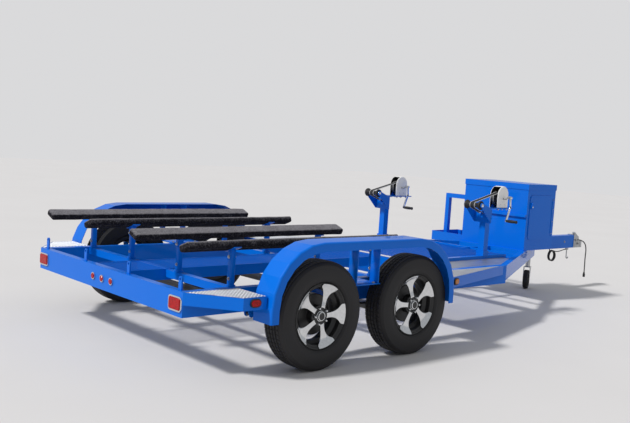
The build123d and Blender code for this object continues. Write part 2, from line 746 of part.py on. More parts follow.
def winch_stand():
    """The left winch stand: post, socket, winch plate with its cheeks, the roller's yoke, and the eye."""
    half = STAND_W / 2
    sock = SOCKET_W / 2
    y = STRINGER_Y
    seat = STAND_TOP + WINCH_PLATE_T
    post = block(STAND_X - half, STAND_X + half, y - half, y + half, STRINGER_TOP, STAND_TOP)
    socket = block(STAND_X - sock, STAND_X + sock, y - sock, y + sock, STRINGER_TOP, STRINGER_TOP + SOCKET_H)
    plate = block(STAND_X - half - ARM_T, WINCH_PLATE_FRONT, y - WINCH_PLATE_W / 2, y + WINCH_PLATE_W / 2,
                  STAND_TOP, seat)
    foot = WINCH_CHEEK_L / 2
    crown = DRUM_Z + 2 * REEL_SHAFT_R
    tip = 2 * REEL_SHAFT_R
    winch_face = make_face(Polyline((DRUM_X - foot, seat), (DRUM_X + foot, seat), (DRUM_X + tip, crown),
                                    (DRUM_X - tip, crown), close=True))
    winch_face -= Pos(DRUM_X, DRUM_Z) * Circle(REEL_SHAFT_R + RUN_GAP)
    start = WOUND_W / 2 + REEL_T + WINCH_CHEEK_GAP
    near = side(winch_face, y + start, y + start + WINCH_CHEEK_T)
    far = side(winch_face, y - start - WINCH_CHEEK_T, y - start)
    back = STAND_X - half
    root = STAND_TOP - YOKE_H
    cheek_face = make_face(Polyline(
        (back - ARM_T, root), (back - ARM_T, STAND_TOP), (ROLLER_X, ROLLER_Z + ARM_H / 2),
        (ROLLER_X, ROLLER_Z - ARM_H / 2), close=True))
    cheek_face += Pos(ROLLER_X, ROLLER_Z) * Circle(ARM_H / 2)
    inner = ROLLER_HALF + ROLLER_SIDE_GAP
    cheek = side(cheek_face, y + inner, y + inner + ARM_T)
    far_cheek = side(cheek_face, y - inner - ARM_T, y - inner)
    web = block(back - ARM_T, back, y - inner - ARM_T, y + inner + ARM_T, root, STAND_TOP)
    pin_half = inner + ARM_T + PIN_HEAD
    pin = rod((ROLLER_X, y - pin_half, ROLLER_Z), (ROLLER_X, y + pin_half, ROLLER_Z), ROLLER_PIN)
    eye = Pos(EYE_X, STRAP_EYE_Z) * Circle(STRAP_EYE_R)
    eye += Pos((EYE_X + back) / 2, STRAP_EYE_Z) * Rectangle(back - EYE_X, 2 * STRAP_EYE_R)
    eye -= Pos(EYE_X, STRAP_EYE_Z) * Circle(LINK_BAR / math.sqrt(2) + RUN_GAP)
    lug = side(eye, y - STRAP_EYE_T / 2, y + STRAP_EYE_T / 2)
    return post + socket + plate + near + far + web + cheek + far_cheek + pin + lug


def winch_drum():
    """The left winch's drum on its shaft, with the strap wound between its flanges."""
    shaft = COVER_W / 2 - COVER_WALL - RUN_GAP
    wound = WOUND_W / 2
    flange = wound + REEL_T
    half_section = [(0, shaft), (REEL_SHAFT_R, shaft), (REEL_SHAFT_R, flange), (REEL_R, flange),
                    (REEL_R, wound), (WOUND_R, wound)]
    other_half = [(radius, -y) for radius, y in reversed(half_section)]
    drum = revolve(make_face(Polyline(*half_section, *other_half, close=True)), axis=Axis.Y)
    return Pos(DRUM_X, STRINGER_Y, DRUM_Z) * drum


def strap_path():
    """Centres, radii and wrap angles of the strap: off the drum, round the roller, back to the eye."""
    drum = Vector(DRUM_X, DRUM_Z)
    roller = Vector(ROLLER_X, ROLLER_Z)
    eye = Vector(EYE_X, STRAP_EYE_Z)
    on_drum = WOUND_R + RUN_GAP + STRAP_T / 2
    on_roller = ROLLER_WAIST + STRAP_CLEAR + STRAP_T / 2
    to_drum = drum - roller
    off_angle = math.atan2(to_drum.Y, to_drum.X) + math.acos((on_roller - on_drum) / to_drum.length)
    to_eye = eye - roller
    back_angle = math.atan2(to_eye.Y, to_eye.X) - math.acos(on_roller / to_eye.length)
    return drum, roller, eye, on_drum, on_roller, off_angle, back_angle + 2 * math.pi


def winch_strap():
    """The left strap, tight from the drum round the bow roller to its link."""
    drum, roller, eye, on_drum, on_roller, off_angle, back_angle = strap_path()

    def spot(centre, radius, angle):
        return centre + Vector(math.cos(angle), math.sin(angle)) * radius

    along = Vector(-math.sin(back_angle), math.cos(back_angle))
    end = eye - along * (LINK_L + LINK_BAR / 2 + RUN_GAP)
    lines = []
    ends = []
    for face_side in (-STRAP_T / 2, STRAP_T / 2):
        start = spot(drum, on_drum + face_side, off_angle)
        over = spot(roller, on_roller + face_side, off_angle)
        behind = spot(roller, on_roller + face_side, (off_angle + back_angle) / 2)
        under = spot(roller, on_roller + face_side, back_angle)
        finish = end + Vector(math.cos(back_angle), math.sin(back_angle)) * face_side
        lines += [Line(start, over), ThreePointArc(over, behind, under), Line(under, finish)]
        ends.append((start, finish))
    lines += [Line(ends[0][0], ends[1][0]), Line(ends[0][1], ends[1][1])]
    return side(make_face(lines), STRINGER_Y - STRAP_W / 2, STRINGER_Y + STRAP_W / 2)


def strap_link():
    """The left strap's steel link, which passes through the eye on the stand."""
    drum, roller, eye, on_drum, on_roller, off_angle, back_angle = strap_path()
    along = Vector(-math.sin(back_angle), math.cos(back_angle))
    middle = eye - along * (LINK_L / 2)
    wide = STRAP_W + 2 * LINK_SIDE
    outer = RectangleRounded(LINK_L + LINK_BAR, wide + LINK_BAR, LINK_BAR)
    inner = Rectangle(LINK_L - LINK_BAR, wide - LINK_BAR)
    ring = Pos(0, 0, -LINK_BAR / 2) * extrude(outer - inner, LINK_BAR)
    place = Plane(origin=(middle.X, STRINGER_Y, middle.Y), x_dir=(along.X, 0, along.Y),
                  z_dir=(-along.Y, 0, along.X))
    return place * ring


def hood(inset):
    """The winch hood's outside, or its inside when inset by the wall."""
    x0 = COVER_X - COVER_L / 2 - inset * 2
    x1 = COVER_X + COVER_L / 2 - inset
    z0 = STAND_TOP + WINCH_PLATE_T - inset
    z1 = STAND_TOP + WINCH_PLATE_T + COVER_H - inset
    half = COVER_W / 2 - inset
    body = block(x0, x1, STRINGER_Y - half, STRINGER_Y + half, z0, z1)
    body = fillet(body.edges().filter_by(Axis.Y).group_by(Axis.Z)[-1], COVER_BEND - inset)
    for flank in (body.faces().sort_by(Axis.Y)[0], body.faces().sort_by(Axis.Y)[-1]):
        curved = flank.outer_wire().edges().filter_by_position(Axis.Z, z0 + 1, z1 + 1)
        body = fillet(curved, COVER_EDGE_R - inset)
    return body


def winch_cover():
    """The left winch's thin hood, open at the rear where the strap leaves it."""
    return hood(0) - hood(COVER_WALL)


def crank():
    """The left winch's crank: hub, a flat bar bent at its knee, and the grip at its end."""
    y0 = STRINGER_Y + COVER_W / 2
    y1 = STRINGER_Y + CRANK_OUT
    hub = rod((CRANK_X, y0, CRANK_Z), (CRANK_X, y1 + CRANK_T, CRANK_Z), CRANK_HUB_R)
    stops = [Vector(0, 0), Vector(*CRANK_KNEE), Vector(*CRANK_END)]
    bar = Circle(CRANK_W / 2)
    for near, far in zip(stops, stops[1:]):
        run = far - near
        middle = (near + far) / 2
        turn = math.degrees(math.atan2(run.Y, run.X))
        bar += Pos(middle.X, middle.Y) * Rot(0, 0, turn) * SlotCenterToCenter(run.length, CRANK_W)
    arm = side(Pos(CRANK_X, CRANK_Z) * bar, y1 - CRANK_T / 2, y1 + CRANK_T / 2)
    grip_x = CRANK_X + CRANK_END[0]
    grip_z = CRANK_Z + CRANK_END[1]
    neck = rod((grip_x, y1, grip_z), (grip_x, y1 + CRANK_GRIP, grip_z), GRIP_NECK_R)
    grip = rod((grip_x, y1 + 2 * CRANK_T, grip_z), (grip_x, y1 + CRANK_GRIP, grip_z), GRIP_R)
    return hub + arm + neck + grip


def bow_roller():
    """The left bow roller: two bells that sweep in to a waist, bored for its pin."""
    end = ROLLER_HALF
    rim = end - ROLLER_RIM
    waist = end - ROLLER_BELL
    halfway = (ROLLER_WAIST + (ROLLER_R - ROLLER_WAIST) / 4, (rim + waist) / 2)
    half = [(ROLLER_BORE, end), (ROLLER_BOSS_R, end), (ROLLER_BOSS_R, end - ROLLER_BOSS),
            (ROLLER_R, end - ROLLER_BOSS), (ROLLER_R, rim)]
    lines = [Polyline(*half), ThreePointArc((ROLLER_R, rim), halfway, (ROLLER_WAIST, waist))]
    lines += [Line((ROLLER_WAIST, waist), (ROLLER_WAIST, -waist))]
    lines += [ThreePointArc((ROLLER_WAIST, -waist), (halfway[0], -halfway[1]), (ROLLER_R, -rim))]
    lines += [Polyline(*[(radius, -y) for radius, y in reversed(half)])]
    lines += [Line((ROLLER_BORE, -end), (ROLLER_BORE, end))]
    return revolve(make_face(lines), axis=Axis.Y)


def knuckles(start, end, radius, count, first):
    """Every second knuckle of a hinge that runs from start to end, counted from first."""
    start = Vector(*start)
    run = (Vector(*end) - start) / count
    gap = run.normalized() * (KNUCKLE_GAP / 2)
    barrels = []
    for number in range(first, count, 2):
        low = start + run * number + gap
        high = start + run * (number + 1) - gap
        barrels.append(rod((low.X, low.Y, low.Z), (high.X, high.Y, high.Z), radius))
    return barrels


def toolbox():
    """The toolbox: open-topped, skirts down to the rails, floor on the tongue."""
    floor = TONGUE_TOP + FLOOR_CLEAR
    top = BOX_TOP - BOX_WALL - RUN_GAP
    shell = block(BOX_REAR_X, BOX_FRONT_X, -BOX_HALF, BOX_HALF, FRAME_TOP, top)
    x0 = BOX_REAR_X + BOX_WALL
    x1 = BOX_FRONT_X - BOX_WALL
    half = BOX_HALF - BOX_WALL
    shell -= block(x0, x1, -half, half, floor + BOX_WALL, top + 1)
    shell -= block(x0, x1, -half, half, FRAME_TOP - 1, floor)
    notch = TONGUE_HALF + FLOOR_CLEAR
    shell -= block(x1 - 1, BOX_FRONT_X + 1, -notch, notch, FRAME_TOP - 1, floor)
    hole = door_face(-DOOR_LAP)
    shell -= side(hole, -BOX_HALF - 1, -half + 1)
    shell += block(BOX_REAR_X - LEDGE_OUT, BOX_REAR_X, -BOX_HALF, LEDGE_END, LEDGE_Z - LEDGE_H / 2,
                   LEDGE_Z + LEDGE_H / 2)
    for barrel in knuckles(*DOOR_HINGE_LINE, HINGE_R, DOOR_KNUCKLES, 1):
        low = barrel.bounding_box().min.Z
        high = barrel.bounding_box().max.Z
        shell += barrel + block(DOOR_FRONT_X, DOOR_FRONT_X + HINGE_LEAF, -BOX_HALF - HINGE_LEAF_T, -BOX_HALF,
                                low, high)
    for barrel in knuckles(*LID_HINGE_LINE, LID_HINGE_R, LID_KNUCKLES, 1):
        low = barrel.bounding_box().min.Y
        high = barrel.bounding_box().max.Y
        shell += barrel + block(BOX_FRONT_X, LID_HINGE_X, low, high, LID_HINGE_Z - 2 * LID_HINGE_R,
                                LID_HINGE_Z)
    return shell


def door_face(grow):
    """The side door's outline with its rounded corners, grown on all sides."""
    wide = DOOR_FRONT_X - DOOR_REAR_X + 2 * grow
    tall = DOOR_TOP - DOOR_FOOT + 2 * grow
    middle = Pos((DOOR_REAR_X + DOOR_FRONT_X) / 2, (DOOR_FOOT + DOOR_TOP) / 2)
    return middle * RectangleRounded(wide, tall, DOOR_R + grow)


def toolbox_door():
    """The side door, overlapping its hole, with its hinge knuckles in front."""
    panel = side(door_face(0), DOOR_FACE, DOOR_FACE + DOOR_T)
    place = Pos(DOOR_REAR_X + PADDLE_IN, DOOR_TOP - PADDLE_DROP)
    latch = side(place * Ellipse(PADDLE_W / 2, PADDLE_H / 2), DOOR_FACE - PADDLE_T, DOOR_FACE)
    door = panel + latch
    room = HINGE_R + KNUCKLE_GAP
    for barrel in knuckles(*DOOR_HINGE_LINE, HINGE_R, DOOR_KNUCKLES, 1):
        low = barrel.bounding_box().min.Z
        high = barrel.bounding_box().max.Z
        door -= block(DOOR_FRONT_X - room, DOOR_FRONT_X + 1, DOOR_FACE - 1, DOOR_FACE + DOOR_T + 1,
                      low - KNUCKLE_GAP, high + KNUCKLE_GAP)
    for barrel in knuckles(*DOOR_HINGE_LINE, HINGE_R, DOOR_KNUCKLES, 0):
        door += barrel
    return door


def toolbox_lid():
    """The lid, a tray turned over the box's rim, with its hinge knuckles in front."""
    out = BOX_WALL + LID_GAP
    rim = BOX_HALF + out
    lid = block(BOX_REAR_X - out, BOX_FRONT_X + out, -rim, rim, BOX_TOP - LID_LIP, BOX_TOP)
    lid -= block(BOX_REAR_X - LID_GAP, BOX_FRONT_X + LID_GAP, -BOX_HALF - LID_GAP, BOX_HALF + LID_GAP,
                 BOX_TOP - LID_LIP - 1, BOX_TOP - BOX_WALL)
    room = LID_HINGE_R + KNUCKLE_GAP
    for barrel in knuckles(*LID_HINGE_LINE, LID_HINGE_R, LID_KNUCKLES, 1):
        low = barrel.bounding_box().min.Y - KNUCKLE_GAP
        high = barrel.bounding_box().max.Y + KNUCKLE_GAP
        lid -= block(BOX_FRONT_X + 1, LID_HINGE_X + room, low, high, LID_HINGE_Z - 1, LID_HINGE_Z + room)
    for barrel in knuckles(*LID_HINGE_LINE, LID_HINGE_R, LID_KNUCKLES, 0):
        low = barrel.bounding_box().min.Y
        high = barrel.bounding_box().max.Y
        lid += barrel + block(BOX_FRONT_X + LID_GAP, LID_HINGE_X, low, high, LID_HINGE_Z,
                              LID_HINGE_Z + 2 * LID_HINGE_R)
    return lid


def side_platform():
    """The tray beside the toolbox, its two bearers, and the rail over it."""
    tray = block(TRAY_REAR_X, TRAY_FRONT_X, BOX_HALF, TRAY_OUT, FRAME_TOP, FRAME_TOP + TRAY_H)
    tray -= block(TRAY_REAR_X + TRAY_T, TRAY_FRONT_X - TRAY_T, BOX_HALF + TRAY_T, TRAY_OUT - TRAY_T,
                  FRAME_TOP + TRAY_T, FRAME_TOP + TRAY_H + 1)
    bearers = []
    for x in (TRAY_REAR_X + TRAY_BEARER / 2, TRAY_FRONT_X - TRAY_BEARER / 2):
        x0 = x - TRAY_BEARER / 2
        x1 = x + TRAY_BEARER / 2
        bearers.append(plan([(x0, aframe_out(x0)), (x1, aframe_out(x1)), (x1, TRAY_OUT), (x0, TRAY_OUT)],
                            FRAME_TOP - TRAY_BEARER, FRAME_TOP))
    half = RAIL_POST_W / 2
    y1 = TRAY_OUT - TRAY_T
    post = block(RAIL_POST_X - half, RAIL_POST_X + half, y1 - RAIL_POST_W, y1, FRAME_TOP + TRAY_T, RAIL_TOP)
    top = block(RAIL_POST_X - half, RAIL_POST_X + half, BOX_HALF, y1, RAIL_TOP - RAIL_POST_W, RAIL_TOP)
    return tray + bearers[0] + bearers[1] + post + top


def coupler():
    """The ball coupler: a folded channel over the tongue that runs into a domed socket."""
    half = COUPLER_W / 2
    crown = BALL_Z + SOCKET_RISE
    top = TONGUE_TOP + COUPLER_WALL
    flank = make_face(Polyline(
        (COUPLER_X, TONGUE_FOOT), (BALL_X, TONGUE_FOOT), (BALL_X, crown), (BALL_X - COUPLER_NECK, crown),
        (TONGUE_END_X + COUPLER_NECK, top), (COUPLER_X, top), close=True))
    channel = side(flank, -half, half)
    reach = NOSE_X - BALL_X
    edge = COUPLER_EDGE_R
    bevel = edge * (1 - math.sqrt(0.5))
    rim = [(reach, TONGUE_FOOT), (reach, crown - edge)]
    rounded = ThreePointArc((reach, crown - edge), (reach - bevel, crown - bevel), (reach - edge, crown))
    core = Polyline((reach - edge, crown), (0, crown), (0, TONGUE_FOOT))
    lines = [Polyline((0, TONGUE_FOOT), *rim), rounded, core]
    dome = Pos(BALL_X, 0, 0) * revolve(Plane.XZ * make_face(lines), axis=Axis.Z)
    body = channel + dome
    body -= block(COUPLER_X - 1, TONGUE_END_X, -TONGUE_HALF, TONGUE_HALF, TONGUE_FOOT - 1, TONGUE_TOP)
    socket = BALL_R + BALL_GAP
    body -= Pos(BALL_X, 0, BALL_Z) * Sphere(socket)
    body -= Pos(BALL_X, 0, (BALL_Z + TONGUE_FOOT) / 2 - 1) * Cylinder(socket, BALL_Z - TONGUE_FOOT + 2)
    return body


def coupler_latch():
    """The latch lever over the coupler's neck, with its raised handle."""
    z0 = BALL_Z + SOCKET_RISE
    knee = z0 + LATCH_H
    heel = BALL_X - COUPLER_NECK
    face = make_face(Polyline((heel, z0), (BALL_X + COUPLER_NECK / 2, z0), (BALL_X, knee),
                              (heel, knee + LATCH_H / 2), (heel - LATCH_REACH, knee + LATCH_REACH),
                              (heel - LATCH_REACH, knee + LATCH_H), close=True))
    lifted = face.vertices().filter_by_position(Axis.Y, knee - 1, knee + LATCH_REACH + 1)
    return side(fillet(lifted, LATCH_CORNER), -LATCH_W / 2, LATCH_W / 2)


def jack_body():
    """The jack's outer tube, the plate that holds it, and its folded crank."""
    y = JACK_Y
    tube = rod((JACK_X, y, JACK_FOOT), (JACK_X, y, JACK_TOP), JACK_TUBE_R)
    tube -= rod((JACK_X, y, JACK_FOOT - 1), (JACK_X, y, JACK_TOP - JACK_CAP), JACK_TUBE_R - JACK_WALL)
    seat = TONGUE_HALF + JACK_PLATE_T
    plate = block(JACK_X - JACK_PLATE_W / 2, JACK_X + JACK_PLATE_W / 2, TONGUE_HALF, seat,
                  TONGUE_FOOT + JACK_PLATE_T, TONGUE_TOP - JACK_PLATE_T)
    web = block(JACK_X - JACK_WEB_W / 2, JACK_X + JACK_WEB_W / 2, seat, y,
                TONGUE_FOOT + 2 * JACK_PLATE_T, TONGUE_TOP - 2 * JACK_PLATE_T)
    web -= rod((JACK_X, y, JACK_FOOT - 1), (JACK_X, y, JACK_TOP), JACK_TUBE_R - 1)
    collar = rod((JACK_X, y, JACK_TOP - JACK_COLLAR_H), (JACK_X, y, JACK_TOP), JACK_COLLAR_R)
    collar -= rod((JACK_X, y, JACK_TOP - JACK_COLLAR_H - 1), (JACK_X, y, JACK_TOP + 1), JACK_TUBE_R)
    head_top = JACK_TOP + JACK_HEAD_H
    head = rod((JACK_X, y, JACK_TOP), (JACK_X, y, head_top), JACK_TUBE_R - JACK_WALL)
    half = JACK_ARM_W / 2
    arm = block(JACK_X - half, JACK_X + half, y - half, y + JACK_ARM_L, head_top - JACK_ARM_T, head_top)
    knob_y = y + JACK_ARM_L - half
    knob = rod((JACK_X, knob_y, head_top), (JACK_X, knob_y, head_top + JACK_KNOB_L), JACK_KNOB_R)
    return tube + plate + web + collar + head + arm + knob


def jack_leg():
    """The sliding leg, with the stem that the caster turns on."""
    top = JACK_TOP - JACK_CAP - JACK_STROKE - JACK_PLATE_T
    leg = rod((JACK_X, JACK_Y, LEG_FOOT), (JACK_X, JACK_Y, top), LEG_R)
    stem = rod((JACK_X, JACK_Y, LEG_FOOT - 2 * FORK_T), (JACK_X, JACK_Y, LEG_FOOT), STEM_R)
    return leg + stem


def caster_place():
    """The caster's place: the leg's foot, turned as it was left."""
    return Pos(JACK_X, JACK_Y, 0) * Rot(0, 0, CASTER_TURN)


def caster_fork():
    """The caster's fork, trailing behind its stem."""
    half = CASTER_W / 2 + FORK_GAP
    top = LEG_FOOT - RUN_GAP
    crown_foot = top - FORK_T
    back = CASTER_TRAIL + FORK_CHEEK
    crown = block(-back, FORK_CROWN, -half - FORK_T, half + FORK_T, crown_foot, top)
    crown -= Pos(0, 0, top) * Cylinder(STEM_R + RUN_GAP, 4 * FORK_T)
    cheek_face = make_face(Polyline((-back, crown_foot), (FORK_CHEEK, crown_foot),
                                    (FORK_EYE - CASTER_TRAIL, CASTER_R), (-FORK_EYE - CASTER_TRAIL, CASTER_R),
                                    close=True))
    cheek_face += Pos(-CASTER_TRAIL, CASTER_R) * Circle(FORK_EYE)
    cheek = side(cheek_face, half, half + FORK_T)
    pin = rod((-CASTER_TRAIL, -half - FORK_T, CASTER_R), (-CASTER_TRAIL, half + FORK_T, CASTER_R), CASTER_PIN)
    return caster_place() * (crown + cheek + other_side(cheek) + pin)


def caster_wheel():
    """The caster's wheel: a chamfered rim on a web and a hub."""
    half = CASTER_W / 2
    web = CASTER_WEB / 2
    flank = [(CASTER_PIN + RUN_GAP, half), (CASTER_HUB_R, half), (CASTER_HUB_R, web), (CASTER_RIM_R, web),
             (CASTER_RIM_R, half), (CASTER_R - CASTER_EDGE, half), (CASTER_R, half - CASTER_EDGE)]
    other_flank = [(radius, -y) for radius, y in reversed(flank)]
    wheel = revolve(make_face(Polyline(*flank, *other_flank, close=True)), axis=Axis.Y)
    return caster_place() * Pos(-CASTER_TRAIL, 0, CASTER_R) * wheel


def leaf_spring(x):
    """The left spring over one axle: leaves that shorten, and rolled eyes."""
    spring = None
    for number in range(LEAVES):
        share = 1 - number * LEAF_STEP
        half = SPRING_REACH * share
        z0 = SPRING_SEAT + LEAF_T * (LEAVES - 1 - number)
        z1 = z0 + LEAF_T
        rise = LEAF_RISE * share ** 2
        lower = ThreePointArc((-half, z0 + rise), (0, z0), (half, z0 + rise))
        upper = ThreePointArc((half, z1 + rise), (0, z1), (-half, z1 + rise))
        face = make_face([lower, Line((half, z0 + rise), (half, z1 + rise)), upper,
                          Line((-half, z1 + rise), (-half, z0 + rise))])
        spring = face if spring is None else spring + face
    y0 = RAIL_MIDDLE - LEAF_W / 2
    y1 = RAIL_MIDDLE + LEAF_W / 2
    solid = side(spring, y0, y1)
    for end in (-SPRING_REACH, SPRING_REACH):
        solid += rod((end, y0, EYE_Z), (end, y1, EYE_Z), EYE_R)
    pad = block(-PAD_HALF, PAD_HALF, y0, y1, AXLE_Z, SPRING_SEAT)
    pad -= rod((0, y0, AXLE_Z), (0, y1, AXLE_Z), AXLE_TUBE_R + SEAT_GAP)
    return Pos(x, 0, 0) * (solid + pad)


def plate_pair(face, x):
    """A face cut twice from plate, one on each side of a spring, with bolt heads at x."""
    near = RAIL_MIDDLE + LEAF_W / 2 + RUN_GAP
    plate = side(face, near, near + HANGER_T)
    for bolt in x:
        head = near + HANGER_T + HANGER_BOLT_H
        plate += rod((bolt, near, EYE_Z), (bolt, head, EYE_Z), HANGER_BOLT_R)
    return [plate, mirror(plate, about=Plane.XZ.offset(-RAIL_MIDDLE))]


def spring_hanger(x):
    """The hanger plates at a spring's outer eye, rounded about its bolt."""
    face = make_face(Polyline((x - HANGER_HALF, RAIL_FOOT), (x + HANGER_HALF, RAIL_FOOT),
                              (x + HANGER_FOOT_R, EYE_Z), (x - HANGER_FOOT_R, EYE_Z), close=True))
    return plate_pair(face + Pos(x, EYE_Z) * Circle(HANGER_FOOT_R), [x])


def balance_beam():
    """The post under the rail and the rocking plates that join the two springs' inner eyes."""
    eye = AXLE_X - SPRING_REACH
    ends = HANGER_FOOT_R
    face = make_face(Polyline((-eye, EYE_Z - ends), (0, EYE_Z - BALANCE_DROP), (eye, EYE_Z - ends),
                              (eye, EYE_Z + ends), (-eye, EYE_Z + ends), close=True))
    for x in (-eye, eye):
        face += Pos(x, EYE_Z) * Circle(ends)
    post = block(-HANGER_HALF, HANGER_HALF, RAIL_MIDDLE - LEAF_W / 2, RAIL_MIDDLE + LEAF_W / 2,
                 EYE_Z - EYE_R, RAIL_FOOT)
    return [post] + plate_pair(face, [-eye, 0, eye])


def lamp_pieces():
    """Chrome bezels and lenses on the rear beam's face."""
    z = FRAME_TOP - RAIL_H / 2
    bezels = []
    lenses = []
    face = REAR_X
    tail_y = HALF_WIDTH - TAIL_INSET
    for y in (tail_y, -tail_y):
        spot = Pos(face, y, z) * Rot(0, -90, 0)
        inner = BEZEL_RIM + LENS_GAP
        ring = extrude(RectangleRounded(TAIL_H, TAIL_W, TAIL_CORNER_R), BEZEL_T)
        hole = extrude(RectangleRounded(TAIL_H - 2 * BEZEL_RIM, TAIL_W - 2 * BEZEL_RIM,
                                        TAIL_CORNER_R - BEZEL_RIM), BEZEL_T)
        lens = extrude(RectangleRounded(TAIL_H - 2 * inner, TAIL_W - 2 * inner, TAIL_CORNER_R - inner),
                       BEZEL_T + LENS_PROUD)
        lens = chamfer(lens.faces().sort_by(Axis.Z)[-1].edges(), LENS_BEVEL)
        bezels.append(spot * (ring - hole))
        lenses.append(spot * lens)
    for y in (-CLEAR_SPACING, 0, CLEAR_SPACING):
        spot = Pos(face, y, z) * Rot(0, -90, 0)
        ring = extrude(Circle(CLEAR_R), BEZEL_T) - extrude(Circle(CLEAR_R - CLEAR_RIM), BEZEL_T)
        bezels.append(spot * ring)
        lens = extrude(Circle(CLEAR_R - CLEAR_RIM - RUN_GAP), BEZEL_T + LENS_PROUD - 1)
        lenses.append(spot * chamfer(lens.faces().sort_by(Axis.Z)[-1].edges(), LENS_BEVEL))
    return bezels, lenses


def side_marker(x, y, turn):
    """An oval side marker on the left: its black surround and its lens."""
    spot = Pos(x, y, MARKER_Z) * Rot(0, 0, turn) * Rot(-90, 0, 0)
    outer = SlotOverall(MARKER_L + 2 * MARKER_RIM, MARKER_H + 2 * MARKER_RIM)
    inner = SlotOverall(MARKER_L, MARKER_H)
    base = extrude(outer, MARKER_T) - extrude(inner, MARKER_T)
    lens = extrude(SlotOverall(MARKER_L - 2 * LENS_GAP, MARKER_H - 2 * LENS_GAP), MARKER_T + LENS_PROUD)
    lens = chamfer(lens.faces().sort_by(Axis.Z)[-1].edges(), LENS_BEVEL)
    return spot * base, spot * lens


def safety_coil():
    """The outer shape of the coiled safety cable that hangs under the tongue."""
    place = Pos(COIL_X, COIL_Y, COIL_Z) * Rot(0, 0, COIL_TURN) * Rot(90, 0, 0)
    ring = Cylinder(COIL_R, COIL_W) - Cylinder(COIL_R - COIL_BAND, COIL_W + 2)
    return place * ring


def cable_hook():
    """The hook that hangs from the eye under the tongue's front."""
    half = HOOK_EYE_L / 2
    wide = HOOK_EYE_W / 2
    eye = block(HOOK_X - half, HOOK_X + half, -wide, wide, TONGUE_FOOT - HOOK_EYE_H, TONGUE_FOOT)
    top = TONGUE_FOOT - HOOK_EYE_H + HOOK_R
    bend_z = TONGUE_FOOT - HOOK_DROP + HOOK_BEND_R + HOOK_R
    shank = Line((HOOK_X, 0, top), (HOOK_X, 0, bend_z))
    bend = ThreePointArc((HOOK_X, 0, bend_z), (HOOK_X + HOOK_BEND_R, 0, bend_z - HOOK_BEND_R),
                         (HOOK_X + 2 * HOOK_BEND_R, 0, bend_z))
    section = Plane(origin=(HOOK_X, 0, top), z_dir=(0, 0, -1)) * Circle(HOOK_R)
    return eye + sweep(section, path=Wire([shank, bend]))


def lead_plug():
    """The plug on the trailer lead's end: neck, body and the mouth round its pins."""
    end = Vector(*LEAD_ROUTE[-1])
    along = end - Vector(*LEAD_ROUTE[-2])
    shoulder = PLUG_NECK_L + PLUG_R - PLUG_NECK_R
    depth = PLUG_L - PLUG_MOUTH_L
    section = [(0, 0), (PLUG_NECK_R, 0), (PLUG_NECK_R, PLUG_NECK_L), (PLUG_R, shoulder), (PLUG_R, PLUG_L),
               (PLUG_MOUTH_R, PLUG_L), (PLUG_MOUTH_R, depth), (0, depth)]
    plug = revolve(Plane.XZ * make_face(Polyline(*section, close=True)), axis=Axis.Z)
    return Plane(origin=end, z_dir=along) * plug


PARTS = {}
MEMBERS = cross_members()
SKIRTS, TREADS = steps()
BEZELS, LENSES = lamp_pieces()
TYRE = tyre_solid()
WHEEL = wheel_solid()

PARTS["rear_beam"] = rear_beam()
PARTS["side_rail_left"] = rail_solid()
PARTS["side_rail_right"] = other_side(rail_solid())
PARTS["cross_members"] = Compound(MEMBERS)
PARTS["spine"] = spine()
PARTS["deck_frames"] = deck_frames(MEMBERS)
PARTS["deck_mesh"] = deck_mesh()
PARTS["side_planks"] = both(side_plank())
PARTS["step_skirts"] = Compound(SKIRTS + [other_side(skirt) for skirt in SKIRTS])
PARTS["step_treads"] = Compound(TREADS + [other_side(tread) for tread in TREADS])
PARTS["tongue"] = block(TONGUE_REAR_X, TONGUE_END_X, -TONGUE_HALF, TONGUE_HALF, TONGUE_FOOT, TONGUE_TOP)
PARTS["coupler"] = coupler()
PARTS["coupler_latch"] = coupler_latch()
PARTS["jack_body"] = jack_body()
PARTS["jack_leg"] = jack_leg()
PARTS["caster_fork"] = caster_fork()
PARTS["caster_wheel"] = caster_wheel()
PARTS["axles"] = Compound([axle_solid(-AXLE_X), axle_solid(AXLE_X)])
SPRINGS = [leaf_spring(-AXLE_X), leaf_spring(AXLE_X)]
END_X = AXLE_X + SPRING_REACH
PARTS["leaf_springs"] = Compound(SPRINGS + [other_side(spring) for spring in SPRINGS])
HANGERS = spring_hanger(-END_X) + balance_beam() + spring_hanger(END_X)
PARTS["spring_hangers"] = Compound(HANGERS + [other_side(hanger) for hanger in HANGERS])
for end, x in (("rear", -AXLE_X), ("front", AXLE_X)):
    left = Pos(x, WHEEL_Y, WHEEL_Z)
    PARTS["tyre_" + end + "_left"] = left * TYRE
    PARTS["tyre_" + end + "_right"] = other_side(left * TYRE)
    PARTS["wheel_" + end + "_left"] = left * WHEEL
    PARTS["wheel_" + end + "_right"] = other_side(left * WHEEL)
PARTS["fender_left"] = fender()
PARTS["fender_right"] = other_side(fender())
PARTS["lamp_bezels"] = Compound(BEZELS)
PARTS["lamp_lenses"] = Compound(LENSES)
FRONT_FALL = (FRONT_STEP_OUT - HALF_WIDTH - STEP_TIP) / (FRONT_STEP_END - FENDER_FRONT_X)
FRONT_TURN = -math.degrees(math.atan(FRONT_FALL))
FRONT_MARKER_Y = FRONT_STEP_OUT - FRONT_FALL * (FRONT_MARKER_X - FENDER_FRONT_X)
REAR_BASE, REAR_LENS = side_marker(REAR_MARKER_X, STEP_OUT, 0)
FRONT_BASE, FRONT_LENS = side_marker(FRONT_MARKER_X, FRONT_MARKER_Y, FRONT_TURN)
PARTS["marker_bases"] = Compound([REAR_BASE, FRONT_BASE, other_side(REAR_BASE), other_side(FRONT_BASE)])
PARTS["marker_lenses_rear"] = both(REAR_LENS)
PARTS["marker_lenses_front"] = both(FRONT_LENS)
